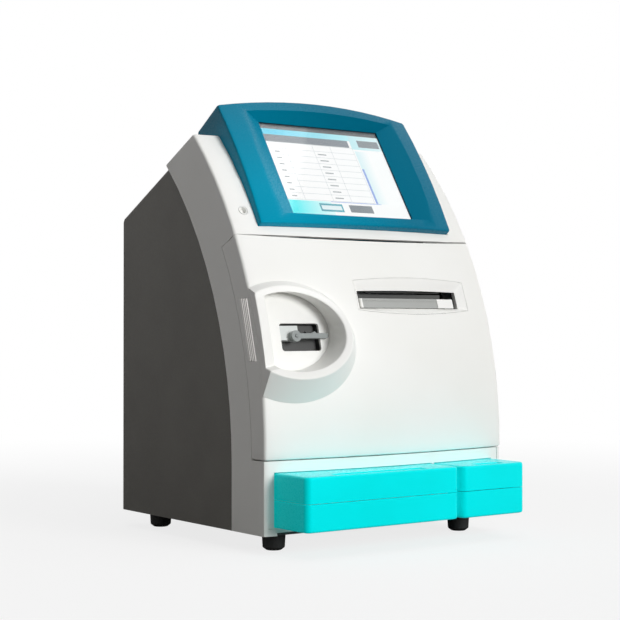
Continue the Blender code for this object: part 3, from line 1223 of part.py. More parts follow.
def make_bulkhead():
    low, high = BAY_Z[1] + GAP, BULKHEAD_TOP_Z
    wall = box("bulkhead", (-BULKHEAD_HALF_WIDTH, BULKHEAD_Y, low),
               (BULKHEAD_HALF_WIDTH, BULKHEAD_Y + BULKHEAD_GAUGE, high), ZINC)
    back = BULKHEAD_Y + BULKHEAD_GAUGE
    posts = [(x, z) for x in (BOARD_X[0] + BOARD_INSET, BOARD_X[1] - BOARD_INSET)
             for z in (BOARD_Z[0] + BOARD_INSET, BOARD_Z[1] - BOARD_INSET)]
    for index, (x, z) in enumerate(posts):
        join(wall, rod(f"post_{index}", (x, back - BULKHEAD_GAUGE / 2, z), (x, back + STANDOFF_LENGTH, z),
                       STANDOFF_RADIUS, ZINC, None, 12))
    board_y = back + STANDOFF_LENGTH + GAP
    board = box("main_board", (BOARD_X[0], board_y, BOARD_Z[0]),
                (BOARD_X[1], board_y + BOARD_GAUGE, BOARD_Z[1]), BOARD)
    for index, (size, shares) in enumerate(zip(CHIP_SIZES, CHIP_PLACE_SHARES)):
        x = BOARD_X[0] + (BOARD_X[1] - BOARD_X[0]) * shares[0]
        z = BOARD_Z[0] + BOARD_HEIGHT * shares[1]
        join(board, box(f"chip_{index}", (x - size / 2, board_y + BOARD_GAUGE / 2, z - size / 2),
                        (x + size / 2, board_y + BOARD_GAUGE + CHIP_RISE, z + size / 2), BOARD))


def make_wet_section():
    front = BULKHEAD_FACE_Y - BLOCK_DEPTH
    block = box("electrode_block", (BLOCK_X[0], front, BLOCK_Z[0]),
                (BLOCK_X[1], BULKHEAD_FACE_Y, BLOCK_Z[1]), CLEAR)
    middle = (BLOCK_Z[0] + BLOCK_Z[1]) / 2
    ends = BLOCK_X[0] + ELECTRODE_INSET, BLOCK_X[1] - ELECTRODE_INSET
    for index, x in enumerate(spread(*ends, ELECTRODES)):
        cut(block, rod(f"electrode_seat_{index}", (x, front - OVERRUN, middle),
                       (x, front + ELECTRODE_SEAT, middle), ELECTRODE_RADIUS + GAP, CLEAR, None, 20))
        electrode = rod(f"electrode_{index + 1}", (x, front - ELECTRODE_CAP, middle),
                        (x, front + ELECTRODE_SEAT - GAP, middle), ELECTRODE_RADIUS, MID_GREY, None, 20)
        join(electrode, rod(f"electrode_cap_{index}", (x, front - ELECTRODE_CAP, middle),
                            (x, front - GAP, middle), ELECTRODE_CAP_RADIUS, MID_GREY, None, 20))
    front = BULKHEAD_FACE_Y - VALVE_DEPTH
    valves = box("valve_block", (BLOCK_X[0], front, VALVE_Z[0]),
                 (BLOCK_X[1], BULKHEAD_FACE_Y, VALVE_Z[1]), CHARCOAL)
    middle = (VALVE_Z[0] + VALVE_Z[1]) / 2
    ends = BLOCK_X[0] + VALVE_INSET, BLOCK_X[1] - VALVE_INSET
    for index, x in enumerate(spread(*ends, VALVES)):
        join(valves, rod(f"valve_{index}", (x, front - VALVE_REACH, middle),
                         (x, front + VALVE_DEPTH / 2, middle), VALVE_RADIUS, CHARCOAL, None, 20))


def make_pump():
    x, z = (PUMP_X[0] + PUMP_X[1]) / 2, (PUMP_Z[0] + PUMP_Z[1]) / 2
    front = BULKHEAD_FACE_Y - PUMP_DEPTH
    pocket_back = front + PUMP_POCKET_DEPTH
    body = box("pump_body", (PUMP_X[0], front, PUMP_Z[0]), (PUMP_X[1], BULKHEAD_FACE_Y, PUMP_Z[1]), WHITE)
    cut(body, rod("pump_pocket", (x, front - OVERRUN, z), (x, pocket_back, z), PUMP_POCKET_RADIUS,
                  WHITE, None, 36))
    cut(body, rod("pump_bore", (x, front, z), (x, pocket_back + OVERRUN, z),
                  ROTOR_SHAFT_RADIUS + GAP, WHITE, None, 16))
    hub_back = pocket_back - RUNNING
    rotor = rod("pump_rotor", (x, hub_back - ROTOR_DEPTH, z), (x, hub_back, z), ROTOR_HUB_RADIUS,
                MID_GREY, None, 32)
    join(rotor, rod("rotor_shaft", (x, hub_back - ROTOR_DEPTH / 2, z),
                    (x, pocket_back + OVERRUN - RUNNING, z), ROTOR_SHAFT_RADIUS, MID_GREY, None, 16))
    for index in range(PUMP_ROLLERS):
        turn = math.pi / 2 + 2 * math.pi * index / PUMP_ROLLERS
        at = (x + ROLLER_PITCH_RADIUS * math.cos(turn), z + ROLLER_PITCH_RADIUS * math.sin(turn))
        join(rotor, rod(f"pump_roller_{index}", (at[0], hub_back - ROTOR_DEPTH + RUNNING, at[1]),
                        (at[0], hub_back - RUNNING, at[1]), PUMP_ROLLER_RADIUS, MID_GREY, None, 16))
    rod("pump_motor", (x, BULKHEAD_BACK_Y, z), (x, BULKHEAD_BACK_Y + MOTOR_LENGTH, z), MOTOR_RADIUS,
        STEEL, None, 28)


# Power supply, fan, inlet and ports at the back
SUPPLY_MARGIN = 0.020
SUPPLY_SIZE = (0.110, 0.078)
SUPPLY_SPACE = 0.006
SUPPLY_X = (SUPPLY_MARGIN - WIDTH / 2, SUPPLY_MARGIN - WIDTH / 2 + SUPPLY_SIZE[0])
SUPPLY_Y = (BAY_Y[1] + SUPPLY_SPACE, BAY_Y[1] + SUPPLY_SPACE + SUPPLY_SIZE[1])
SUPPLY_EDGE = 0.001
SUPPLY_HEIGHT = 0.045
FAN_SIZE = 0.080
FAN_MARGIN = 0.040
FAN_X = WIDTH / 2 - FAN_MARGIN - FAN_SIZE / 2
FAN_Z = 0.235
FAN_DEPTH = 0.025
FAN_BORE = 0.0380
FAN_HUB = 0.0150
FAN_BLADES = 7
FAN_BLADE = (0.0340, 0.0150, 0.0012)
FAN_BLADE_PITCH = math.radians(38)
FAN_STRUTS = 3
STRUT_WIDTH = 0.004
STRUT_DEPTH = 0.003
GRILLE_SIZE = 0.084
GRILLE_CORNER = 0.006
GRILLE_BARS = 9
GRILLE_SLOT = 0.0048
SLOT_CORNER = 0.0023
GRILLE_RADIUS = 0.036
INLET_MARGIN = 0.043
INLET_SIZE = (0.060, 0.032)
INLET_LOW_Z = 0.030
INLET_X = (INLET_MARGIN - WIDTH / 2, INLET_MARGIN - WIDTH / 2 + INLET_SIZE[0])
INLET_Z = (INLET_LOW_Z, INLET_LOW_Z + INLET_SIZE[1])
INLET_DEPTH = 0.026
FLANGE_MARGIN = 0.002
SOCKET_INSET = 0.0175
SOCKET_X = INLET_X[0] + SOCKET_INSET
SOCKET = (0.0240, 0.0165)
SOCKET_DEPTH = 0.017
SOCKET_CHAMFER = 0.0045
BLADE = (0.002, 0.004)
BLADE_SPREAD = 0.007
BLADE_DROP = 0.002
SWITCH_INSET = 0.0130
SWITCH_X = INLET_X[1] - SWITCH_INSET
SWITCH = (0.0110, 0.0210)
SWITCH_PROUD = 0.0022
SWITCH_DISH = 0.0014
SWITCH_RIM = 0.0020
SWITCH_BACK = 0.0070
SWITCH_DEPTH = 0.0100
SWITCH_TILT = math.radians(7)
SWITCH_SETBACK = 0.0015
PORTS_MARGIN = 0.043
PORTS_SIZE = (0.100, 0.026)
PORTS_LOW_Z = 0.030
PORTS_X = (WIDTH / 2 - PORTS_MARGIN - PORTS_SIZE[0], WIDTH / 2 - PORTS_MARGIN)
PORTS_Z = (PORTS_LOW_Z, PORTS_LOW_Z + PORTS_SIZE[1])
PORTS_DEPTH = 0.014
PORT_INSETS = (0.0110, 0.0320, 0.0500, 0.0770)
PORT_SIZES = ((0.0160, 0.0135), (0.0130, 0.0060), (0.0130, 0.0060), (0.0300, 0.0100))
PORT_POCKET = 0.009


def back_box(name, x_range, depths, z_range, material):
    """A box given by how far its two ends lie behind the body's back face, negative being inside."""
    return box(name, (x_range[0], BACK_Y + depths[0], z_range[0]),
               (x_range[1], BACK_Y + depths[1], z_range[1]), material)


def grown(limits, margin):
    return limits[0] - margin, limits[1] + margin


def make_supply():
    low = BASE_TOP_Z + GAP
    supply = box("power_supply", (SUPPLY_X[0], SUPPLY_Y[0], low),
                 (SUPPLY_X[1], SUPPLY_Y[1], low + SUPPLY_HEIGHT), ZINC)
    soften(supply, SUPPLY_EDGE, 1)


def make_fan(cover):
    frame_y = COVER_BACK_INNER_Y - GAP - FAN_DEPTH
    half = FAN_SIZE / 2
    frame = box("fan_frame", (FAN_X - half, frame_y, FAN_Z - half),
                (FAN_X + half, frame_y + FAN_DEPTH, FAN_Z + half), CHARCOAL)
    cut(frame, rod("fan_bore", (FAN_X, frame_y - OVERRUN, FAN_Z),
                   (FAN_X, frame_y + FAN_DEPTH + OVERRUN, FAN_Z), FAN_BORE, CHARCOAL, None, 40))
    join(frame, rod("fan_seat", (FAN_X, frame_y, FAN_Z), (FAN_X, frame_y + STRUT_DEPTH, FAN_Z), FAN_HUB,
                    CHARCOAL, None, 24))
    for index in range(FAN_STRUTS):
        turn = math.pi / 2 + 2 * math.pi * index / FAN_STRUTS
        strut = box(f"fan_strut_{index}", (0, 0, -STRUT_WIDTH / 2),
                    (FAN_BORE - FAN_HUB / 2, STRUT_DEPTH, STRUT_WIDTH / 2), CHARCOAL)
        middle = FAN_HUB / 2 + (FAN_BORE + STRUT_DEPTH / 2 - FAN_HUB / 2) / 2
        place(strut, at=(FAN_X + middle * math.cos(turn), frame_y + STRUT_DEPTH / 2,
                         FAN_Z + middle * math.sin(turn)), turn=(0, -turn, 0))
        join(frame, strut)
    hub_low, hub_high = frame_y + STRUT_DEPTH + RUNNING, frame_y + FAN_DEPTH - STRUT_DEPTH
    rotor = rod("fan_rotor", (FAN_X, hub_low, FAN_Z), (FAN_X, hub_high, FAN_Z), FAN_HUB, CHARCOAL, None, 28)
    for index in range(FAN_BLADES):
        turn = 2 * math.pi * index / FAN_BLADES
        reach = FAN_BLADE[0] - FAN_HUB + STRUT_DEPTH
        blade = box(f"fan_blade_{index}", (0, -FAN_BLADE[1] / 2, -FAN_BLADE[2] / 2),
                    (reach, FAN_BLADE[1] / 2, FAN_BLADE[2] / 2), CHARCOAL)
        middle = FAN_BLADE[0] - reach / 2
        place(blade, at=(FAN_X + middle * math.cos(turn), (hub_low + hub_high) / 2,
                         FAN_Z + middle * math.sin(turn)), turn=(FAN_BLADE_PITCH, -turn, 0))
        join(rotor, blade)
    half = GRILLE_SIZE / 2
    grille = outline("fan_grille", round_rectangle(GRILLE_SIZE, GRILLE_SIZE, GRILLE_CORNER),
                     (BACK_REACH - GAP) / 2, DARK_GREY, "front",
                     at=(FAN_X, BACK_Y + (BACK_REACH + GAP) / 2, FAN_Z))
    for index, rise in enumerate(spread(-GRILLE_RADIUS, GRILLE_RADIUS, GRILLE_BARS + 2)[1:-1]):
        chord = math.sqrt(GRILLE_RADIUS ** 2 - rise ** 2)
        slot = round_rectangle(2 * chord, GRILLE_SLOT, SLOT_CORNER, (0, rise))
        cut(grille, outline(f"grille_slot_{index}", slot, OVERRUN, DARK_GREY, "front",
                            at=(FAN_X, BACK_Y, FAN_Z)))
    cut(cover, rod("fan_opening", (FAN_X, BACK_Y - OVERRUN, FAN_Z), (FAN_X, BACK_Y + OVERRUN, FAN_Z),
                   FAN_BORE, DARK_GREY, None, 40))


def make_inlet(cover):
    inlet = back_box("power_inlet", grown(INLET_X, FLANGE_MARGIN), (GAP, BACK_REACH),
                     grown(INLET_Z, FLANGE_MARGIN), CHARCOAL)
    join(inlet, back_box("inlet_body", INLET_X, (-INLET_DEPTH, BACK_REACH / 2), INLET_Z, CHARCOAL))
    middle = (INLET_Z[0] + INLET_Z[1]) / 2
    half_width, half_height = SOCKET[0] / 2, SOCKET[1] / 2
    points = [(-half_width, half_height), (-half_width, SOCKET_CHAMFER - half_height),
              (SOCKET_CHAMFER - half_width, -half_height), (half_width - SOCKET_CHAMFER, -half_height),
              (half_width, SOCKET_CHAMFER - half_height), (half_width, half_height)]
    cut(inlet, outline("socket", points, SOCKET_DEPTH, CHARCOAL, "front",
                       at=(SOCKET_X, BACK_Y + BACK_REACH, middle)))
    for index, (across, rise) in enumerate(((-BLADE_SPREAD, -BLADE_DROP), (0, BLADE_DROP),
                                            (BLADE_SPREAD, -BLADE_DROP))):
        x, z = SOCKET_X + across, middle + rise
        join(inlet, back_box(f"blade_{index}", grown((x, x), BLADE[0] / 2),
                             (BACK_REACH - SOCKET_DEPTH - BLADE[0], -BLADE[0]),
                             grown((z, z), BLADE[1] / 2), CHARCOAL))
    cut(inlet, back_box("switch_pocket", grown((SWITCH_X, SWITCH_X), SWITCH[0] / 2 + GAP),
                        (-SWITCH_DEPTH, OVERRUN), grown((middle, middle), SWITCH[1] / 2 + 2 * GAP), CHARCOAL))
    half = SWITCH[1] / 2 - GAP
    points = [(SWITCH_PROUD, half), (SWITCH_PROUD - SWITCH_DISH, 0), (SWITCH_PROUD, -half),
              (-SWITCH_RIM, -half), (-SWITCH_BACK, -half / 3), (-SWITCH_BACK, half / 3), (-SWITCH_RIM, half)]
    switch = outline("power_switch", points, SWITCH[0] / 2, BLACK, "side")
    place(switch, at=(SWITCH_X, BACK_Y - SWITCH_SETBACK, middle), turn=(SWITCH_TILT, 0, 0))
    cut(cover, back_box("inlet_opening", grown(INLET_X, GAP), (-OVERRUN, OVERRUN), grown(INLET_Z, GAP),
                        DARK_GREY))


def make_ports(cover):
    panel = back_box("port_panel", grown(PORTS_X, FLANGE_MARGIN), (GAP, BACK_REACH),
                     grown(PORTS_Z, FLANGE_MARGIN), ZINC)
    join(panel, back_box("port_body", PORTS_X, (-PORTS_DEPTH, BACK_REACH / 2), PORTS_Z, ZINC))
    middle = (PORTS_Z[0] + PORTS_Z[1]) / 2
    for index, (inset, (width, height)) in enumerate(zip(PORT_INSETS, PORT_SIZES)):
        x = PORTS_X[0] + inset
        cut(panel, back_box(f"port_{index}", grown((x, x), width / 2), (-PORT_POCKET, OVERRUN),
                            grown((middle, middle), height / 2), ZINC))
    cut(cover, back_box("ports_opening", grown(PORTS_X, GAP), (-OVERRUN, OVERRUN), grown(PORTS_Z, GAP),
                        DARK_GREY))


make_feet()
make_base()
front_frame = make_frame()
rear_cover = make_cover()
make_hinges()
make_ring()
sampler_port = make_sampler()
make_lever(sampler_port)
make_printer()
make_door()
make_display(front_frame)
make_stylus_well(front_frame)
make_bay()
make_drawers()
make_packs()
make_bulkhead()
make_wet_section()
make_pump()
make_supply()
make_fan(rear_cover)
make_inlet(rear_cover)
make_ports(rear_cover)
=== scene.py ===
import json
import math

import bmesh
import bpy
from mathutils import Matrix, Vector

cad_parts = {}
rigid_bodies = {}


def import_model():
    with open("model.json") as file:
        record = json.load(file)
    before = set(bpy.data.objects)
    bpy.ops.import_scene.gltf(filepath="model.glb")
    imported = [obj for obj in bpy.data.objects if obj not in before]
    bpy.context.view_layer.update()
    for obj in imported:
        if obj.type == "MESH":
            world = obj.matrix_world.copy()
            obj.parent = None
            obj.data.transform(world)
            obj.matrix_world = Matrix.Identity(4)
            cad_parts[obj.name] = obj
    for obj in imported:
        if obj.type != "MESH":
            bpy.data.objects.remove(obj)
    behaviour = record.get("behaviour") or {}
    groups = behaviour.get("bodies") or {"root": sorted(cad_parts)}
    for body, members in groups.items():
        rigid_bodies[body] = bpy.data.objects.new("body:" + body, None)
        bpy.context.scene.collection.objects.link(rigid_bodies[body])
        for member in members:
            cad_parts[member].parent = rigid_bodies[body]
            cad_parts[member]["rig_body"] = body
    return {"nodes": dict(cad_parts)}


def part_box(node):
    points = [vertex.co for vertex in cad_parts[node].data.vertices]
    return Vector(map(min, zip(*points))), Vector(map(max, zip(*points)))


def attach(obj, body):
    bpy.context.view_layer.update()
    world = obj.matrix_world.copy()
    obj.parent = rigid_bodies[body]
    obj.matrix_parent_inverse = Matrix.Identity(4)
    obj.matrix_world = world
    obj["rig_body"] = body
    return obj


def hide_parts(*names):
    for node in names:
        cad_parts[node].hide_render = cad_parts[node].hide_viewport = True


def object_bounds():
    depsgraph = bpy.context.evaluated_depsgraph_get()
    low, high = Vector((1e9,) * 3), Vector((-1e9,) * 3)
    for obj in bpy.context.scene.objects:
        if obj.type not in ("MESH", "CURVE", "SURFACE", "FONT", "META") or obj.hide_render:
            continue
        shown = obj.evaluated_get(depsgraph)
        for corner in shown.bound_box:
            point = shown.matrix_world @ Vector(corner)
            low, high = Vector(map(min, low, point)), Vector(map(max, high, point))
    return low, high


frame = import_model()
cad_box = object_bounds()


# Four tapered feet of moulded black rubber. The rubber is matt, with a faint bloom
# and a fine pebble from its mould, and each foot is screwed up into the base plate.
def linear(hex_colour):
    values = [int(hex_colour[place:place + 2], 16) / 255 for place in (1, 3, 5)]
    return [v / 12.92 if v <= 0.04045 else ((v + 0.055) / 1.055) ** 2.4 for v in values] + [1.0]


def add_node(tree, kind, inputs=(), **settings):
    """A node with its settings, whose inputs are values or other nodes' outputs."""
    node = tree.nodes.new(kind)
    for name, value in settings.items():
        setattr(node, name, value)
    for socket, value in dict(inputs).items():
        if isinstance(value, bpy.types.NodeSocket):
            tree.links.new(value, node.inputs[socket])
        else:
            node.inputs[socket].default_value = value
    return node


def start_material(name, colour, roughness, **sockets):
    """A named material with plain values on its shader, and its tree and object coordinates."""
    made = bpy.data.materials.new(name)
    made.use_nodes = True
    tree = made.node_tree
    shader = tree.nodes["Principled BSDF"]
    shader.inputs["Base Color"].default_value = linear(colour)
    shader.inputs["Roughness"].default_value = roughness
    for socket, value in sockets.items():
        shader.inputs[socket.replace("_", " ")].default_value = value
    place = add_node(tree, "ShaderNodeTexCoord").outputs["Object"]
    return made, tree, shader, place


def grain(tree, shader, place, size_mm, depth_mm, roughness=None):
    """A noise that lifts the surface and may vary its gloss.

    Most real grains here are under a tenth of a millimetre, so they are drawn coarser to show.
    """
    noise = add_node(tree, "ShaderNodeTexNoise", {"Vector": place, "Scale": 1000 / size_mm, "Detail": 3.0})
    bump = add_node(tree, "ShaderNodeBump", {"Height": noise.outputs["Fac"], "Distance": depth_mm / 1000,
                                             "Strength": 0.6})
    tree.links.new(bump.outputs["Normal"], shader.inputs["Normal"])
    if roughness:
        gloss = add_node(tree, "ShaderNodeMapRange", {"Value": noise.outputs["Fac"], "From Min": 0.3,
                                                      "From Max": 0.7, "To Min": roughness[0],
                                                      "To Max": roughness[1]})
        tree.links.new(gloss.outputs["Result"], shader.inputs["Roughness"])


def drift(tree, shader, place, size_mm, first, second):
    """A slow change between two near colours over patches of the given size."""
    patches = add_node(tree, "ShaderNodeTexNoise", {"Vector": place, "Scale": 1000 / size_mm, "Detail": 2.0})
    ramp = add_node(tree, "ShaderNodeValToRGB", {"Fac": patches.outputs["Fac"]})
    for stop, position, colour in zip(ramp.color_ramp.elements, (0.35, 0.65), (first, second)):
        stop.position = position
        stop.color = linear(colour)
    tree.links.new(ramp.outputs["Color"], shader.inputs["Base Color"])


def moulded_rubber():
    made, tree, shader, place = start_material("moulded_nitrile_rubber", "#161616", 0.75)
    drift(tree, shader, place, 14, "#131313", "#1C1C1B")
    grain(tree, shader, place, 0.9, 0.05, (0.65, 0.85))
    return made


def fair_copy(node, merge=0.00001, flat_degrees=0.7):
    """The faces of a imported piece, welded and freed of the joins between coplanar triangles."""
    source = frame["nodes"][node].data
    mesh = bpy.data.meshes.new(node + "_finished")
    mesh.from_pydata([v.co for v in source.vertices], [], [p.vertices for p in source.polygons])
    bm = bmesh.new()
    bm.from_mesh(mesh)
    bmesh.ops.remove_doubles(bm, verts=bm.verts, dist=merge)
    bmesh.ops.dissolve_limit(bm, angle_limit=math.radians(flat_degrees), verts=bm.verts, edges=bm.edges)
    bm.to_mesh(mesh)
    bm.free()
    return mesh


def fit(mesh, finish, slot, *nodes):
    """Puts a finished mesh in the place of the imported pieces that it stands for."""
    piece = bpy.data.objects.new(mesh.name, mesh)
    bpy.context.scene.collection.objects.link(piece)
    piece.data.materials.append(finish)
    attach(piece, frame["nodes"][nodes[0]]["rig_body"])
    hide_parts(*nodes)
    return piece


def break_edges(piece, width, angle=35, segments=2):
    """Rounds the sharp edges a little, as moulds leave them, and shades the rest smooth."""
    piece.data.shade_smooth()
    if width:
        edges = piece.modifiers.new("broken_edges", "BEVEL")
        edges.width = width
        edges.segments = segments
        edges.limit_method = "ANGLE"
        edges.angle_limit = math.radians(angle)
        edges.miter_outer = "MITER_ARC"
    else:
        piece.data.set_sharp_from_angle(angle=math.radians(angle))
    normals = piece.modifiers.new("even_shading", "WEIGHTED_NORMAL")
    normals.keep_sharp = True
    normals.weight = 80
    return piece


RUBBER = moulded_rubber()
for foot in ("front_left_foot", "front_right_foot", "back_left_foot", "back_right_foot"):
    break_edges(fit(fair_copy(foot), RUBBER, "black_rubber", foot), 0.0006)


# The base plate is cold-rolled steel sheet, folded flat and black coated. The coat
# hides the sheet's grain and leaves an even, low sheen.
def coated_sheet():
    made, tree, shader, place = start_material("black_coated_steel_sheet", "#2A2A29", 0.5)
    drift(tree, shader, place, 60, "#262625", "#30302F")
    grain(tree, shader, place, 1.2, 0.03, (0.42, 0.6))
    return made


break_edges(fit(fair_copy("base_plate"), coated_sheet(), "dark_sheet", "base_plate"), 0.0004)


# The bulkhead carries the wet section in front and the board behind. It is zinc-plated
# steel sheet, whose plating shows a cloudy spangle and a soft, broken reflection.
def zinc_plate():
    made, tree, shader, place = start_material("zinc_plated_steel", "#B4B7B8", 0.42, Metallic=1.0)
    spangle = add_node(tree, "ShaderNodeTexVoronoi", {"Vector": place, "Scale": 1000 / 7.0})
    tone = add_node(tree, "ShaderNodeValToRGB", {"Fac": spangle.outputs["Color"]})
    tone.color_ramp.elements[0].color = linear("#A3A6A8")
    tone.color_ramp.elements[1].color = linear("#C6C8C8")
    tree.links.new(tone.outputs["Color"], shader.inputs["Base Color"])
    gloss = add_node(tree, "ShaderNodeMapRange", {"Value": spangle.outputs["Distance"], "To Min": 0.36,
                                                  "To Max": 0.52})
    tree.links.new(gloss.outputs["Result"], shader.inputs["Roughness"])
    return made


ZINC = zinc_plate()
break_edges(fit(fair_copy("bulkhead"), ZINC, "zinc_sheet", "bulkhead"), 0.0002)


# The wet section: a block of clear acrylic with three sensor cartridges in its seats.
# The acrylic is milled and polished, and the cartridges are moulded grey acetal.
def polished_acrylic():
    made, tree, shader, place = start_material("polished_clear_acrylic", "#E4F0F2", 0.06, IOR=1.49,
                                               Transmission_Weight=0.9)
    grain(tree, shader, place, 5.0, 0.01)
    return made


def grained(name, first, second, roughness, grain_mm=0.8, patch_mm=50, depth_mm=0.03, **sockets):
    """A finish with a small drift in colour and a fine grain, as tools and moulds leave it."""
    made, tree, shader, place = start_material(name, first, sum(roughness) / 2, **sockets)
    drift(tree, shader, place, patch_mm, first, second)
    grain(tree, shader, place, grain_mm, depth_mm, roughness)
    return made


def moulded(name, *colours_and_grain, **sockets):
    """A plastic with the grain of its spark-eroded mould, which gives it a satin gloss."""
    return grained(name, *colours_and_grain, IOR=1.53, **sockets)


ACRYLIC = polished_acrylic()
GREY_ACETAL = moulded("moulded_grey_acetal", "#858B8A", "#8F9594", (0.32, 0.46))
BLACK_NYLON = moulded("moulded_black_nylon", "#333433", "#3C3D3B", (0.42, 0.58))
break_edges(fit(fair_copy("electrode_block"), ACRYLIC, "clear_acrylic", "electrode_block"), 0.0004)
for number in (1, 2, 3):
    node = f"electrode_{number}"
    break_edges(fit(fair_copy(node), GREY_ACETAL, "grey_plastic", node), 0.0004)
break_edges(fit(fair_copy("valve_block"), BLACK_NYLON, "charcoal_plastic", "valve_block"), 0.0004)


# The peristaltic pump: a housing moulded in natural white acetal, a grey rotor with three
# rollers, and a motor in a turned and nickel-plated steel can behind the bulkhead.
TURNING_MARKS = (200, 4000, 200)


def plated_can():
    made, tree, shader, place = start_material("nickel_plated_steel", "#C9C8C2", 0.28, Metallic=1.0)
    turned = add_node(tree, "ShaderNodeMapping", {"Vector": place, "Scale": TURNING_MARKS})
    lines = add_node(tree, "ShaderNodeTexNoise", {"Vector": turned.outputs["Vector"], "Scale": 1.0})
    gloss = add_node(tree, "ShaderNodeMapRange", {"Value": lines.outputs["Fac"], "To Min": 0.2,
                                                  "To Max": 0.4})
    tree.links.new(gloss.outputs["Result"], shader.inputs["Roughness"])
    return made


NICKEL = plated_can()
WHITE_ACETAL = moulded("natural_white_acetal", "#E2E2DA", "#EAEAE3", (0.3, 0.42))
break_edges(fit(fair_copy("pump_body"), WHITE_ACETAL, "white_plastic", "pump_body"), 0.0006)
break_edges(fit(fair_copy("pump_rotor"), GREY_ACETAL, "grey_plastic", "pump_rotor"), 0.0003)
break_edges(fit(fair_copy("pump_motor"), NICKEL, "steel", "pump_motor"), 0.0008)


# The main board is glass-epoxy laminate under green solder mask, with moulded chips.
# Traces under the mask show as fine lines on a grid, a little lighter than the ground.
def solder_mask():
    made, tree, shader, place = start_material("green_solder_mask", "#0E5230", 0.32, Coat_Weight=0.4)
    bricks = add_node(tree, "ShaderNodeTexBrick", {"Scale": 1000 / 14.0, "Mortar Size": 0.02,
                                                   "Color1": linear("#0E5230"), "Color2": linear("#125C37"),
                                                   "Mortar": linear("#2F8050")})
    flat = add_node(tree, "ShaderNodeMapping", {"Vector": place, "Rotation": (math.pi / 2, 0, 0)})
    tree.links.new(flat.outputs["Vector"], bricks.inputs["Vector"])
    tree.links.new(bricks.outputs["Color"], shader.inputs["Base Color"])
    grain(tree, shader, place, 0.5, 0.01)
    return made


board = break_edges(fit(fair_copy("main_board"), solder_mask(), "circuit_board", "main_board"), 0.0001)
board.data.materials.append(moulded("epoxy_chip_case", "#1C1C1D", "#222223", (0.5, 0.65), 0.4))
CHIP_THICKNESS = 0.0020
chip_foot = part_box("main_board")[1].y - CHIP_THICKNESS
for face in board.data.polygons:
    if face.center.y > chip_foot:
        face.material_index = 1


# The power supply stands on the base plate in a vented case of folded zinc-plated sheet,
# whose edges are left with the small radius of the press brake.
break_edges(fit(fair_copy("power_supply"), ZINC, "zinc_sheet", "power_supply"), 0.0003)


# The drawer bay and the case parts are moulded in warm white ABS. It has a fine spark-eroded
# grain, a satin gloss, and a faint warm drift in colour from the mould's flow.
WHITE_ABS = moulded("moulded_white_abs", "#F2F2EE", "#F5F5F2", (0.38, 0.5), 0.7, 120, 0.02)
break_edges(fit(fair_copy("drawer_bay"), WHITE_ABS, "white_plastic", "drawer_bay"), 0.0002)


# Two drawers, each a tray with a cover snapped over it. They are moulded from a polished tool
# in cyan ABS, given a painted glow: a weak cyan emission that lifts their shaded sides as if lit.
CYAN_ABS = moulded("moulded_cyan_abs_painted_glow", "#00DFE2", "#00E6EA", (0.24, 0.34), 1.0, 90, 0.01,
                   Specular_Tint=linear("#00FFFF"), Emission_Color=linear("#00FFFA"),
                   Emission_Strength=0.14)
for node in ("reagent_tray", "reagent_cover", "waste_tray", "waste_cover"):
    break_edges(fit(fair_copy(node), CYAN_ABS, "cyan_plastic", node), 0.0005, 50)


# The packs in the drawers: a reagent pack in white polypropylene with four necks, and a
# waste bottle blown in clear plastic.
POLYPROPYLENE = moulded("white_polypropylene", "#E8E9E6", "#EFEFEC", (0.35, 0.5), 1.5)
break_edges(fit(fair_copy("reagent_pack"), POLYPROPYLENE, "white_plastic", "reagent_pack"), 0.0005)
break_edges(fit(fair_copy("waste_bottle"), ACRYLIC, "clear_acrylic", "waste_bottle"), 0.0005)


# The front frame is one large white moulding, an arc that leans back and bows in plan.
# Its faces are divided finely here and set on the true curve, so light runs over it evenly.
CASE_WIDTH = cad_box[1].x - cad_box[0].x
FRONT_Y = -0.123
ARC_START_Z = 0.105
ARC_RADIUS = 0.492
BOW = 0.0135
CURVE_OVERLAP = 0.1


def skin_y(x, z):
    rise = max(z - ARC_START_Z, 0.0)
    lean = ARC_RADIUS - math.sqrt(ARC_RADIUS ** 2 - rise ** 2)
    return FRONT_Y + lean - BOW * (1 - (2 * x / CASE_WIDTH) ** 2)


def skin(x, z, depth=0.0):
    return Vector((x, skin_y(x, z) + depth, z))


def spread(low, high, count):
    return [low + (high - low) * index / (count - 1) for index in range(count)]


def divide(bm, axis, stations):
    for station in stations:
        everything = list(bm.verts) + list(bm.edges) + list(bm.faces)
        bmesh.ops.bisect_plane(bm, geom=everything, plane_co=[station if a == axis else 0 for a in range(3)],
                               plane_no=[1 if a == axis else 0 for a in range(3)], dist=0.00002)


def on_the_curve(mesh, depths=(0.0,), pitch=0.010, reach=0.0005):
    """Divides a case part at an even pitch and moves what lies near the curved skin onto it."""
    bm = bmesh.new()
    bm.from_mesh(mesh)
    for axis in (0, 2):
        values = [v.co[axis] for v in bm.verts]
        count = max(int((max(values) - min(values)) / pitch), 3)
        divide(bm, axis, spread(min(values), max(values), count)[1:-1])
    for vertex in bm.verts:
        for depth in depths:
            off = skin_y(vertex.co.x, vertex.co.z) + depth - vertex.co.y
            if abs(off) < reach and vertex.co.z > ARC_START_Z - CURVE_OVERLAP:
                vertex.co.y += off
    bm.to_mesh(mesh)
    bm.free()
    return mesh


break_edges(fit(on_the_curve(fair_copy("front_frame")), WHITE_ABS, "white_plastic", "front_frame"), 0, 38)
FASCIA_SETBACK = 0.0021
fascia = on_the_curve(fair_copy("drawer_fascia"), (FASCIA_SETBACK,))
break_edges(fit(fascia, WHITE_ABS, "white_plastic", "drawer_fascia"), 0.0003, 45)


# The stylus well is a small cup pressed into the frame beside the display. It is moulded in
# the case's white ABS.
break_edges(fit(fair_copy("stylus_well"), WHITE_ABS, "white_plastic", "stylus_well"), 0.0003)


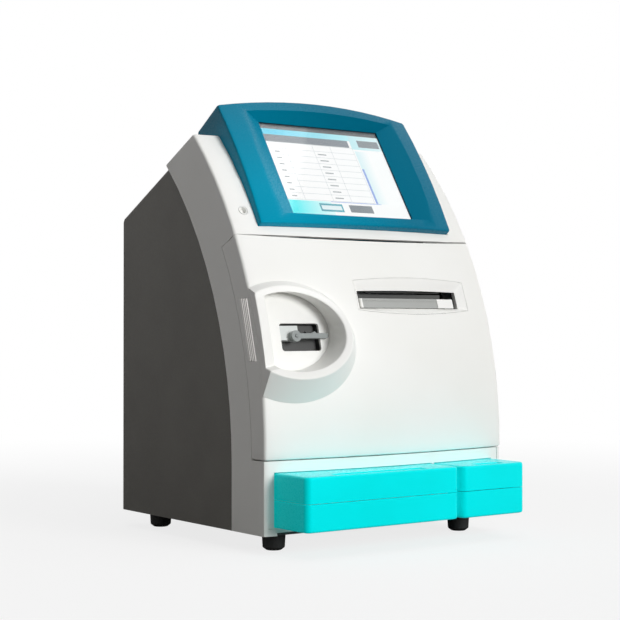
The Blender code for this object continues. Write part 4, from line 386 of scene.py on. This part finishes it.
# The door's hinge: pressed zinc-plated arms and brackets on turned stainless pins. The zinc
# has the bulkhead's cloudy spangle, and the pins keep a soft, even gloss.
def turned_stainless():
    made, tree, shader, place = start_material("turned_stainless_steel", "#BDBEBE", 0.3, Metallic=1.0)
    grain(tree, shader, place, 0.3, 0.005, (0.24, 0.36))
    return made


STAINLESS = turned_stainless()
for side in ("left", "right"):
    for node in (f"{side}_hinge_arm", f"{side}_hinge_bracket"):
        break_edges(fit(fair_copy(node), ZINC, "zinc_sheet", node), 0.0003)
    node = f"{side}_hinge_pin"
    break_edges(fit(fair_copy(node), STAINLESS, "steel", node), 0.0002)


# The door is a white ABS moulding with the same satin grain as the frame. It carries the
# sampler's ring, the printer and the side grips, and its seams are left as fine even gaps.
break_edges(fit(on_the_curve(fair_copy("front_door")), WHITE_ABS, "white_plastic", "front_door"), 0, 38)


# A ribbed grip is let into each side of the door, so that a finger can swing it up. The
# crests of its ribs are bright aluminium, which catches the light as thin lines.
ALUMINIUM = grained("bright_anodised_aluminium", "#D9D6D3", "#E2DFDC", (0.16, 0.26), 0.3, 30, 0.004,
                    Metallic=1.0)
CREST_BORDER = 0.0003
CREST_TOLERANCE = 0.0003
for side in ("left", "right"):
    node = f"{side}_grip"
    grip = break_edges(fit(fair_copy(node), WHITE_ABS, "white_plastic", node), 0)
    grip.data.materials.append(ALUMINIUM)
    bm = bmesh.new()
    bm.from_mesh(grip.data)
    outward = -1 if side == "left" else 1
    crests = [face for face in bm.faces if face.normal.x * outward > 0.9
              and abs(face.calc_center_median().x) > CASE_WIDTH / 2 - CREST_TOLERANCE]
    bmesh.ops.inset_individual(bm, faces=crests, thickness=CREST_BORDER)
    for face in crests:
        face.material_index = 1
    bm.to_mesh(grip.data)
    bm.free()


# The sampler's ring stands out from the door as a D, with a sloped skirt and a flat rim
# whose edges are rounded. It is moulded in the case's white ABS.
RING_X = -0.126
RIM_Z = 0.2305
RIM_HALF = (0.068, 0.049)
RIM_INNER_HALF = (0.0605, 0.0415)
SIDE_SETBACK = 0.0003
RIM_LEFT = SIDE_SETBACK - CASE_WIDTH / 2
RIM_INNER_LEFT = -0.1525
RIM_RISES = (0.0095, 0.0190)
BAND_RISE = 0.0095
RIM_SLOPE = 0.0022
SKIRT_Z = 0.220
SKIRT_HALF = (0.080, 0.064)
SLEEVE_WALL = 0.0020
RING_SEAT = 0.0004
RIM_EDGE = 0.0016
PORT_X, PORT_Z, PORT_DEPTH = -0.104, 0.2245, 0.0150
PORT_TILT = math.asin((PORT_Z - ARC_START_Z) / ARC_RADIUS)
PLATE_CLEARANCE = 0.0008
ROUND_POINTS, SIDE_POINTS = 112, 26


def port_y(z):
    return skin_y(PORT_X, PORT_Z) + PORT_DEPTH + (z - PORT_Z) * math.tan(PORT_TILT)


def d_shape(centre_z, half, left_x, grow=0.0):
    """Points round a D: an ellipse to the right, and a straight left side."""
    width, height, left = half[0] + grow, half[1] + grow, left_x - grow
    turn = math.acos((left - RING_X) / width)
    points = [(RING_X + width * math.cos(angle), centre_z + height * math.sin(angle))
              for angle in spread(-turn, turn, ROUND_POINTS)]
    top, bottom = points[-1][1], points[0][1]
    return points + [(left, z) for z in spread(top, bottom, SIDE_POINTS + 2)[1:-1]]


def rim_rise(index, z):
    if index >= ROUND_POINTS:
        return BAND_RISE
    share = (RIM_Z + RIM_HALF[1] - z) / (2 * RIM_HALF[1])
    return RIM_RISES[0] + (RIM_RISES[1] - RIM_RISES[0]) * share


def toward(start, end, length):
    run = end - start
    return start + run * min(length / run.length, 0.45)


def rounded(before, corner, after, radius, steps=3):
    """Three or more points of a rounded corner between two straight runs."""
    first, last = toward(corner, before, radius), toward(corner, after, radius)
    return [first.lerp(corner, t).lerp(corner.lerp(last, t), t) for t in spread(0, 1, steps + 1)]


def loft(name, sections):
    """A closed ring from sections that each run once round its cross-section."""
    bm = bmesh.new()
    rows = [[bm.verts.new(point) for point in section] for section in sections]
    for row, following in zip(rows, rows[1:] + rows[:1]):
        for index, first in enumerate(row):
            beside = (index + 1) % len(row)
            bm.faces.new((first, row[beside], following[beside], following[index]))
    bmesh.ops.recalc_face_normals(bm, faces=bm.faces)
    mesh = bpy.data.meshes.new(name)
    bm.to_mesh(mesh)
    bm.free()
    return mesh


def ring_sections():
    opening = d_shape(RIM_Z, RIM_INNER_HALF, RIM_INNER_LEFT)
    sleeve = d_shape(RIM_Z, RIM_INNER_HALF, RIM_INNER_LEFT, SLEEVE_WALL)
    rim = d_shape(RIM_Z, RIM_HALF, RIM_LEFT)
    skirt = d_shape(SKIRT_Z, SKIRT_HALF, RIM_LEFT)
    for index, ((ox, oz), (sx, sz), (rx, rz), (kx, kz)) in enumerate(zip(opening, sleeve, rim, skirt)):
        seat = Vector((sx, port_y(sz) - PLATE_CLEARANCE, sz))
        back, foot = skin(sx, sz, -RING_SEAT), skin(kx, kz, -RING_SEAT)
        outer, inner = skin(rx, rz, -rim_rise(index, rz)), skin(ox, oz, RIM_SLOPE - rim_rise(index, oz))
        bottom = Vector((ox, port_y(oz) - PLATE_CLEARANCE, oz))
        slope = [foot.lerp(outer, share) for share in (0.33, 0.66)]
        wall = [inner.lerp(bottom, share) for share in (0.3, 0.6, 0.85)]
        yield ([seat, back, foot] + slope + rounded(foot, outer, inner, RIM_EDGE)
               + rounded(outer, inner, bottom, RIM_EDGE) + wall + [bottom])


ring = fit(loft("sampler_ring_finished", list(ring_sections())), WHITE_ABS, "white_plastic", "sampler_ring")
break_edges(ring, 0, 40)


# Inside the ring the sampler's plate stays on the body. Its insert and housing are black
# nylon, its cover is pale grey ABS, and the lever and its pin are grey acetal.
break_edges(fit(fair_copy("sampler_plate"), WHITE_ABS, "white_plastic", "sampler_plate"), 0.0003)
for node in ("sampler_housing", "sampler_insert"):
    break_edges(fit(fair_copy(node), BLACK_NYLON, "charcoal_plastic", node), 0.0002)
PALE_ABS = moulded("moulded_pale_grey_abs", "#D3D8D6", "#DBDFDD", (0.36, 0.48))
break_edges(fit(fair_copy("probe_cover"), PALE_ABS, "white_plastic", "probe_cover"), 0.0003)
break_edges(fit(fair_copy("sampler_lever"), GREY_ACETAL, "grey_plastic", "sampler_lever"), 0.0004, 50)
break_edges(fit(fair_copy("lever_pin"), GREY_ACETAL, "grey_plastic", "lever_pin"), 0.0003)
break_edges(fit(fair_copy("sample_needle"), STAINLESS, "steel", "sample_needle"), 0.0002)


# The printer behind its eye-shaped surround: a white lid that carries the rubber roller, a
# black nylon body with the print head, a blackened steel tear bar and a roll of thermal paper.
def thermal_paper():
    made, tree, shader, place = start_material("thermal_paper", "#F4F3EC", 0.7)
    drift(tree, shader, place, 20, "#F1F0E8", "#F7F6F0")
    wound = add_node(tree, "ShaderNodeTexNoise", {"Vector": place, "Scale": 1000 / 0.6, "Detail": 1.0})
    bump = add_node(tree, "ShaderNodeBump", {"Height": wound.outputs["Fac"], "Distance": 0.00002})
    tree.links.new(bump.outputs["Normal"], shader.inputs["Normal"])
    return made


LID_INSET_OFF, LID_INSET_TOLERANCE = 0.0030, 0.0003
SURROUND_SETBACK = 0.00015
surround = on_the_curve(fair_copy("printer_surround"), (SURROUND_SETBACK,), pitch=0.006, reach=0.0003)
break_edges(fit(surround, WHITE_ABS, "white_plastic", "printer_surround"), 0, 30)
lid = break_edges(fit(fair_copy("printer_lid"), WHITE_ABS, "white_plastic", "printer_lid"), 0.0002)
lid.data.materials.append(moulded("moulded_light_grey_abs", "#A5A7A4", "#ABADAA", (0.36, 0.48)))
for face in lid.data.polygons:
    off = face.center.y - skin_y(face.center.x, face.center.z)
    if abs(off - LID_INSET_OFF) < LID_INSET_TOLERANCE and face.normal.y < -0.5:
        face.material_index = 1
inset_x = [lid.data.vertices[v].co.x
           for face in lid.data.polygons if face.material_index for v in face.vertices]
bm = bmesh.new()
bm.from_mesh(lid.data)
divide(bm, 0, (min(inset_x), max(inset_x)))
for face in bm.faces:
    if face.normal.y < -0.5 and min(inset_x) < face.calc_center_median().x < max(inset_x):
        face.material_index = 1
bm.to_mesh(lid.data)
bm.free()
break_edges(fit(fair_copy("printer_body"), BLACK_NYLON, "grey_plastic", "printer_body"), 0.0002)
BLACKENED_STEEL = grained("blackened_steel", "#2B2B2A", "#333332", (0.35, 0.5), 0.5, 20, 0.01,
                          Metallic=0.5)
break_edges(fit(fair_copy("tear_bar"), BLACKENED_STEEL, "steel", "tear_bar"), 0.0001)
break_edges(fit(fair_copy("platen_roller"), RUBBER, "black_rubber", "platen_roller"), 0.0002)
break_edges(fit(fair_copy("paper_roll"), thermal_paper(), "paper", "paper_roll"), 0.0002)


# The display pod: a teal ABS bezel with a sloped recess, a back plate, a sheet of touch
# glass and the panel behind it, whose picture is a plain table with no words on it. The teal
# is painted lighter toward the lower left corner, a painted pool of light on top of the pool lamp's.
BEZEL_FOOT = (0, FRONT_Y + 0.0512, 0.3472)
BEZEL_TILT = math.radians(32.5)
SCREEN = (0.1700, 0.1276)
SCREEN_MIDDLE = (0.0020, 0.0815)
PICTURE_DEPTH, PICTURE_LAYER = 0.00745, 0.000002
PANEL_GLOW = 0.94
POD = Matrix.Translation(BEZEL_FOOT) @ Matrix.Rotation(math.pi / 2 - BEZEL_TILT, 4, "X")


def touch_glass():
    made, tree, shader, place = start_material("touch_screen_glass", "#FFFFFF", 0.03, IOR=1.5,
                                               Transmission_Weight=1.0)
    grain(tree, shader, place, 30, 0.002)
    return made


def lit(name, first, second, reach):
    """A colour of the lit panel, that may change to a second one across a part of its width."""
    made, tree, shader, place = start_material(name, "#101214", 0.5, Emission_Strength=PANEL_GLOW)
    across = add_node(tree, "ShaderNodeSeparateXYZ", {"Vector": place})
    start, end = [SCREEN_MIDDLE[0] + (share - 0.5) * SCREEN[0] for share in reach]
    share = add_node(tree, "ShaderNodeMapRange", {"Value": across.outputs["X"], "From Min": start,
                                                  "From Max": end})
    ramp = add_node(tree, "ShaderNodeValToRGB", {"Fac": share.outputs["Result"]})
    for stop, colour in zip(ramp.color_ramp.elements, (first, second)):
        stop.color = linear(colour)
    tree.links.new(ramp.outputs["Color"], shader.inputs["Emission Color"])
    return made


PICTURE_COLOURS = {"white": ("#FBFBFB", "#FAFDFD", (0, 1)), "bar": ("#3A4043", "#4A4F51", (0, 1)),
                   "sky": ("#18C8E6", "#B4F0F6", (0.1, 0.75)), "header": ("#5E6870", "#79838C", (0, 0.7)),
                   "line": ("#C3CBCE", "#CDD4D6", (0, 1)), "side": ("#D3F0F4", "#FBFEFE", (0.74, 0.86)),
                   "divider": ("#6F93DE", "#A6C0EE", (0.74, 0.80)),
                   "button": ("#6C767D", "#7F898F", (0.5, 1)),
                   "glow": ("#10EFF3", "#D8FAFB", (0.06, 0.34)), "pale": ("#A9E6EE", "#DDF5F8", (0.6, 1)),
                   "ink": ("#8F979B", "#9CA3A7", (0, 1)), "frame": ("#1C95A8", "#2FA9BA", (0.2, 0.5)),
                   "label": ("#DDEFF2", "#E8F4F5", (0, 1))}
TABLE = (0.012, 0.205, 0.735, 0.830)
COLUMN_SHARES = (0.0, 0.20, 0.52, 0.73, 1.0)
ROWS = 9


def picture_patches():
    """Each patch of the picture as shares of the screen from its left top: left, top, right, bottom."""
    left, top, right, bottom = TABLE
    yield "white", 0, 0, 1, 1
    yield "bar", 0, 0, 1, 0.055
    yield "sky", 0, 0.055, 1, 0.120
    yield "pale", right, 0.055, 1, 0.215
    yield "header", left, 0.120, right - 0.02, 0.200
    yield "button", 0.80, 0.105, 0.985, 0.185
    yield "side", 0.748, 0.235, 1, 0.835
    yield "divider", 0.748, 0.44, 0.766, 0.835
    yield "glow", 0, 0.840, 0.36, 1
    yield "divider", 0.36, 0.836, 0.79, 0.842
    yield "frame", 0.255, 0.862, 0.445, 0.948
    yield "label", 0.268, 0.882, 0.432, 0.928
    yield "button", 0.50, 0.865, 0.695, 0.945
    for row in range(ROWS + 1):
        level = top + (bottom - top) * row / ROWS
        yield "line", left, level - 0.002, right, level + 0.002
    for share in COLUMN_SHARES:
        x = left + (right - left) * share
        yield "line", x - 0.0015, top, x + 0.0015, bottom
    for row in range(1, ROWS):
        level = top + (bottom - top) * (row + 0.5) / ROWS
        yield "ink", left + 0.045, level - 0.006, left + 0.085, level + 0.006
        yield "ink", left + 0.40, level - 0.006, left + 0.47, level + 0.006


def screen_picture():
    bm = bmesh.new()
    names = list(PICTURE_COLOURS)
    for layer, (name, left, top, right, bottom) in enumerate(picture_patches()):
        corners = [(left, bottom), (right, bottom), (right, top), (left, top)]
        lift = layer * PICTURE_LAYER - PICTURE_DEPTH
        face = bm.faces.new([bm.verts.new(POD @ Vector((SCREEN_MIDDLE[0] + (x - 0.5) * SCREEN[0],
                                                        SCREEN_MIDDLE[1] + (0.5 - y) * SCREEN[1], lift)))
                             for x, y in corners])
        face.material_index = names.index(name)
    mesh = bpy.data.meshes.new("screen_picture")
    bm.to_mesh(mesh)
    bm.free()
    for name, colour in PICTURE_COLOURS.items():
        mesh.materials.append(lit(f"lit_panel_{name}", *colour))
    return mesh


# A painted pool of light: the bezel's teal is painted lighter within this reach of this corner.
PAINTED_LIGHT_CORNER = Vector((-0.115, -0.07, 0.365))
PAINTED_LIGHT_REACH = (0.03, 0.19)


def teal_abs():
    made, tree, shader, place = start_material("moulded_teal_abs", "#00708D", 0.27, IOR=1.3,
                                               Specular_Tint=linear("#00B0D8"))
    # Painted light: the colour runs from the lighter teal near the corner to the plain teal further off.
    corner = add_node(tree, "ShaderNodeVectorMath", {0: place, 1: PAINTED_LIGHT_CORNER}, operation="DISTANCE")
    ramp = add_node(tree, "ShaderNodeValToRGB", {"Fac": corner.outputs["Value"]})
    for stop, reach, colour in zip(ramp.color_ramp.elements, PAINTED_LIGHT_REACH, ("#0092B2", "#006E8B")):
        stop.position = reach
        stop.color = linear(colour)
    tree.links.new(ramp.outputs["Color"], shader.inputs["Base Color"])
    grain(tree, shader, place, 0.9, 0.01, (0.22, 0.32))
    return made


TEAL_ABS = teal_abs()
break_edges(fit(fair_copy("display_bezel"), TEAL_ABS, "teal_plastic", "display_bezel"), 0, 38)
break_edges(fit(fair_copy("display_back"), TEAL_ABS, "teal_plastic", "display_back"), 0.0003)
fit(fair_copy("touch_glass"), touch_glass(), "screen_glass", "touch_glass")
break_edges(fit(fair_copy("lcd_module"), BLACK_NYLON, "charcoal_plastic", "lcd_module"), 0.0003)
picture = bpy.data.objects.new("screen_picture", screen_picture())
bpy.context.scene.collection.objects.link(picture)
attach(picture, "chassis")


# The rear cover is folded steel sheet with a dark grey powder coat, whose fine orange peel
# breaks up its sheen. Pan-head screws hold it, and the parts at the back, in place.
def powder_coat():
    made, tree, shader, place = start_material("dark_grey_powder_coat", "#5C5A55", 0.55)
    drift(tree, shader, place, 80, "#595751", "#605E58")
    grain(tree, shader, place, 1.1, 0.06, (0.48, 0.64))
    return made


HEAD_SIDES = 24


def pan_heads(name, spots, radius, finish):
    """Pan-head screws on the back face, each with a cross recess, as one group."""
    bm = bmesh.new()
    for spot in spots:
        frame_at = Matrix.Translation(spot) @ Matrix.Rotation(-math.pi / 2, 4, "X")
        profile = [(0, 0.58), (0.45, 0.55), (0.8, 0.40), (0.97, 0.16), (1.0, 0.0), (0, 0)]
        rows = []
        for share, height in profile:
            rows.append([bm.verts.new(frame_at @ Vector((radius * share * math.cos(turn),
                                                         radius * share * math.sin(turn), radius * height)))
                         for turn in [math.tau * step / HEAD_SIDES for step in range(HEAD_SIDES)]])
        for row, following in zip(rows, rows[1:]):
            for index in range(HEAD_SIDES):
                beside = (index + 1) % HEAD_SIDES
                bm.faces.new((row[index], row[beside], following[beside], following[index]))
    bmesh.ops.remove_doubles(bm, verts=bm.verts, dist=0.000001)
    bmesh.ops.recalc_face_normals(bm, faces=bm.faces)
    cutter = bmesh.new()
    for spot in spots:
        for long_side, short_side in ((1.1, 0.26), (0.26, 1.1)):
            size = Matrix.Diagonal((radius * long_side, radius * 0.8, radius * short_side, 1))
            bmesh.ops.create_cube(cutter, size=1.0,
                                  matrix=Matrix.Translation(spot + Vector((0, radius * 0.75, 0))) @ size)
    made = []
    for label, shape in (("heads", bm), ("cutter", cutter)):
        mesh = bpy.data.meshes.new(f"{name}_{label}")
        shape.to_mesh(mesh)
        shape.free()
        made.append(bpy.data.objects.new(name if label == "heads" else f"{name}_cutter", mesh))
        bpy.context.scene.collection.objects.link(made[-1])
    heads, tool = made
    recess = heads.modifiers.new("cross_recess", "BOOLEAN")
    recess.operation, recess.solver, recess.object = "DIFFERENCE", "EXACT", tool
    recess.use_self = True
    bpy.context.view_layer.update()
    heads.data = bpy.data.meshes.new_from_object(heads.evaluated_get(bpy.context.evaluated_depsgraph_get()))
    heads.modifiers.clear()
    bpy.data.objects.remove(tool)
    heads.data.materials.append(finish)
    heads.data.shade_smooth()
    heads.data.set_sharp_from_angle(angle=math.radians(35))
    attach(heads, "chassis")


POWDER_COAT = powder_coat()
break_edges(fit(fair_copy("rear_cover"), POWDER_COAT, "dark_grey_paint", "rear_cover"), 0, 38)
cover_low, cover_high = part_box("rear_cover")
COVER_SCREW_INSET, COVER_SCREW_RADIUS, TOP_SCREW_Z = 0.010, 0.0032, 0.30
spots = [Vector((x, cover_high.y, z))
         for x in (cover_low.x + COVER_SCREW_INSET, cover_high.x - COVER_SCREW_INSET)
         for z in spread(cover_low.z + COVER_SCREW_INSET, TOP_SCREW_Z, 3)]
pan_heads("cover_screws", spots, COVER_SCREW_RADIUS, NICKEL)


# The cooling fan hangs inside the cover: a black nylon frame and a seven-bladed rotor,
# behind a pressed grille with the cover's powder coat.
for node in ("fan_frame", "fan_rotor"):
    break_edges(fit(fair_copy(node), BLACK_NYLON, "charcoal_plastic", node), 0.0002)
break_edges(fit(fair_copy("fan_grille"), POWDER_COAT, "dark_grey_paint", "fan_grille"), 0.0003)
grille_low, grille_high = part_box("fan_grille")
GRILLE_SCREW_INSET, GRILLE_SCREW_RADIUS, GRILLE_SCREW_SINK = 0.0055, 0.0024, 0.0016
spots = [Vector((x, grille_high.y - GRILLE_SCREW_SINK, z))
         for x in (grille_low.x + GRILLE_SCREW_INSET, grille_high.x - GRILLE_SCREW_INSET)
         for z in (grille_low.z + GRILLE_SCREW_INSET, grille_high.z - GRILLE_SCREW_INSET)]
pan_heads("grille_screws", spots, GRILLE_SCREW_RADIUS, NICKEL)


# The mains inlet is one black nylon moulding with a socket for the lead and a rocker
# switch, polished black, that tips in its pocket.
break_edges(fit(fair_copy("power_inlet"), BLACK_NYLON, "charcoal_plastic", "power_inlet"), 0.0002)
SWITCH_BLACK = moulded("polished_black_polycarbonate", "#121213", "#171718", (0.15, 0.22), 1.0, 40, 0.005)
break_edges(fit(fair_copy("power_switch"), SWITCH_BLACK, "black_rubber", "power_switch"), 0.0004)


# The port panel is a small zinc-plated plate with its sockets cut through, held by
# the cover's edge.
break_edges(fit(fair_copy("port_panel"), ZINC, "zinc_sheet", "port_panel"), 0.0002)


# A plain pale studio floor under the object. Seen straight on it is white paper that fades
# into the white room further out, and it keeps the object's soft shadow.
FLOOR_HALF = 4.0
PAPER_NEAR, PAPER_FAR = 0.45, 1.60
PAPER_WHITE = (0.80, 1.0)


def studio_paper():
    made, tree, shader, place = start_material("studio_paper", "#F2F2F2", 0.9)
    path = add_node(tree, "ShaderNodeLightPath")
    seen = path.outputs["Is Camera Ray"]
    tone = add_node(tree, "ShaderNodeMix", {"Factor": seen}, data_type="RGBA")
    tone.inputs["A"].default_value = linear("#A6A3A2")
    tone.inputs["B"].default_value = linear("#F8F8F8")
    tree.links.new(tone.outputs["Result"], shader.inputs["Base Color"])
    away = add_node(tree, "ShaderNodeVectorMath", {0: place}, operation="LENGTH")
    white = add_node(tree, "ShaderNodeMapRange", {"Value": away.outputs["Value"], "From Min": PAPER_NEAR,
                                                  "From Max": PAPER_FAR, "To Min": PAPER_WHITE[0],
                                                  "To Max": PAPER_WHITE[1]}, interpolation_type="SMOOTHSTEP")
    share = add_node(tree, "ShaderNodeMath", {0: seen, 1: white.outputs["Result"]}, operation="MULTIPLY")
    glow = add_node(tree, "ShaderNodeEmission", {"Color": linear("#FFFFFF"), "Strength": 1.0})
    mix = add_node(tree, "ShaderNodeMixShader", {0: share.outputs["Value"], 1: shader.outputs["BSDF"],
                                                 2: glow.outputs["Emission"]})
    tree.links.new(mix.outputs["Shader"], tree.nodes["Material Output"].inputs["Surface"])
    return made


bm = bmesh.new()
bmesh.ops.create_grid(bm, x_segments=4, y_segments=4, size=FLOOR_HALF)
floor_mesh = bpy.data.meshes.new("studio_floor")
bm.to_mesh(floor_mesh)
bm.free()
floor = bpy.data.objects.new("studio_floor", floor_mesh)
bpy.context.scene.collection.objects.link(floor)
floor_mesh.materials.append(studio_paper())


# A large soft key stands in front, a little to the right and not much above the object. A
# weaker one hangs overhead, a soft pool falls on the display, and the white room fills in.
KEY_STRENGTH = 2.0
OVERHEAD_STRENGTH = 0.75
POOL_POWER = 20.0
POOL_PLACE, POOL_TARGET = Vector((0.35, -1.70, 0.45)), Vector((-0.105, -0.06, 0.365))
FILL_STRENGTH = 0.13


def lamp(name, kind, strength, travelling, **settings):
    light = bpy.data.lights.new(name, kind)
    light.energy = strength
    for setting, value in settings.items():
        setattr(light, setting, value)
    holder = bpy.data.objects.new(name, light)
    bpy.context.scene.collection.objects.link(holder)
    holder.rotation_euler = travelling.to_track_quat("-Z", "Y").to_euler()
    return holder


lamp("key", "SUN", KEY_STRENGTH, Vector((-0.24, 0.94, -0.24)), angle=math.radians(22))
lamp("overhead", "SUN", OVERHEAD_STRENGTH, Vector((-0.10, 0.25, -0.96)), angle=math.radians(60))
lamp("pool", "SPOT", POOL_POWER, POOL_TARGET - POOL_PLACE, spot_size=math.radians(11.5), spot_blend=1.0,
     shadow_soft_size=0.15).location = POOL_PLACE

room = bpy.data.worlds.new("white_room")
bpy.context.scene.world = room
room.use_nodes = True
tree = room.node_tree
tree.nodes.clear()
path = add_node(tree, "ShaderNodeLightPath")
mirrored = add_node(tree, "ShaderNodeMath", {0: path.outputs["Is Camera Ray"],
                                             1: path.outputs["Is Glossy Ray"]}, operation="MAXIMUM")
seen = add_node(tree, "ShaderNodeMath", {0: mirrored.outputs["Value"],
                                         1: path.outputs["Is Transmission Ray"]}, operation="MAXIMUM")
level = add_node(tree, "ShaderNodeMapRange", {"Value": seen.outputs["Value"], "To Min": FILL_STRENGTH,
                                              "To Max": 1.0})
sky = add_node(tree, "ShaderNodeBackground", {"Color": linear("#FFFFFF"),
                                              "Strength": level.outputs["Result"]})
add_node(tree, "ShaderNodeOutputWorld", {"Surface": sky.outputs["Background"]})


# The camera looks level from the front left, as a photographer would stand for a
# catalogue picture, with a moderately long lens.
CAMERA_PLACE = (-1.0518, -1.4144, 0.2377)
CAMERA_HEADING = math.radians(-36.18)
CAMERA_PITCH = math.radians(90.553)
CAMERA_LENS = 88.52
lens = bpy.data.cameras.new("camera")
lens.lens = CAMERA_LENS
lens.sensor_width = 36.0
camera = bpy.data.objects.new("camera", lens)
bpy.context.scene.collection.objects.link(camera)
camera.location = CAMERA_PLACE
camera.rotation_euler = (CAMERA_PITCH, 0, CAMERA_HEADING)
bpy.context.scene.camera = camera
bpy.context.scene.view_settings.view_transform = "Standard"
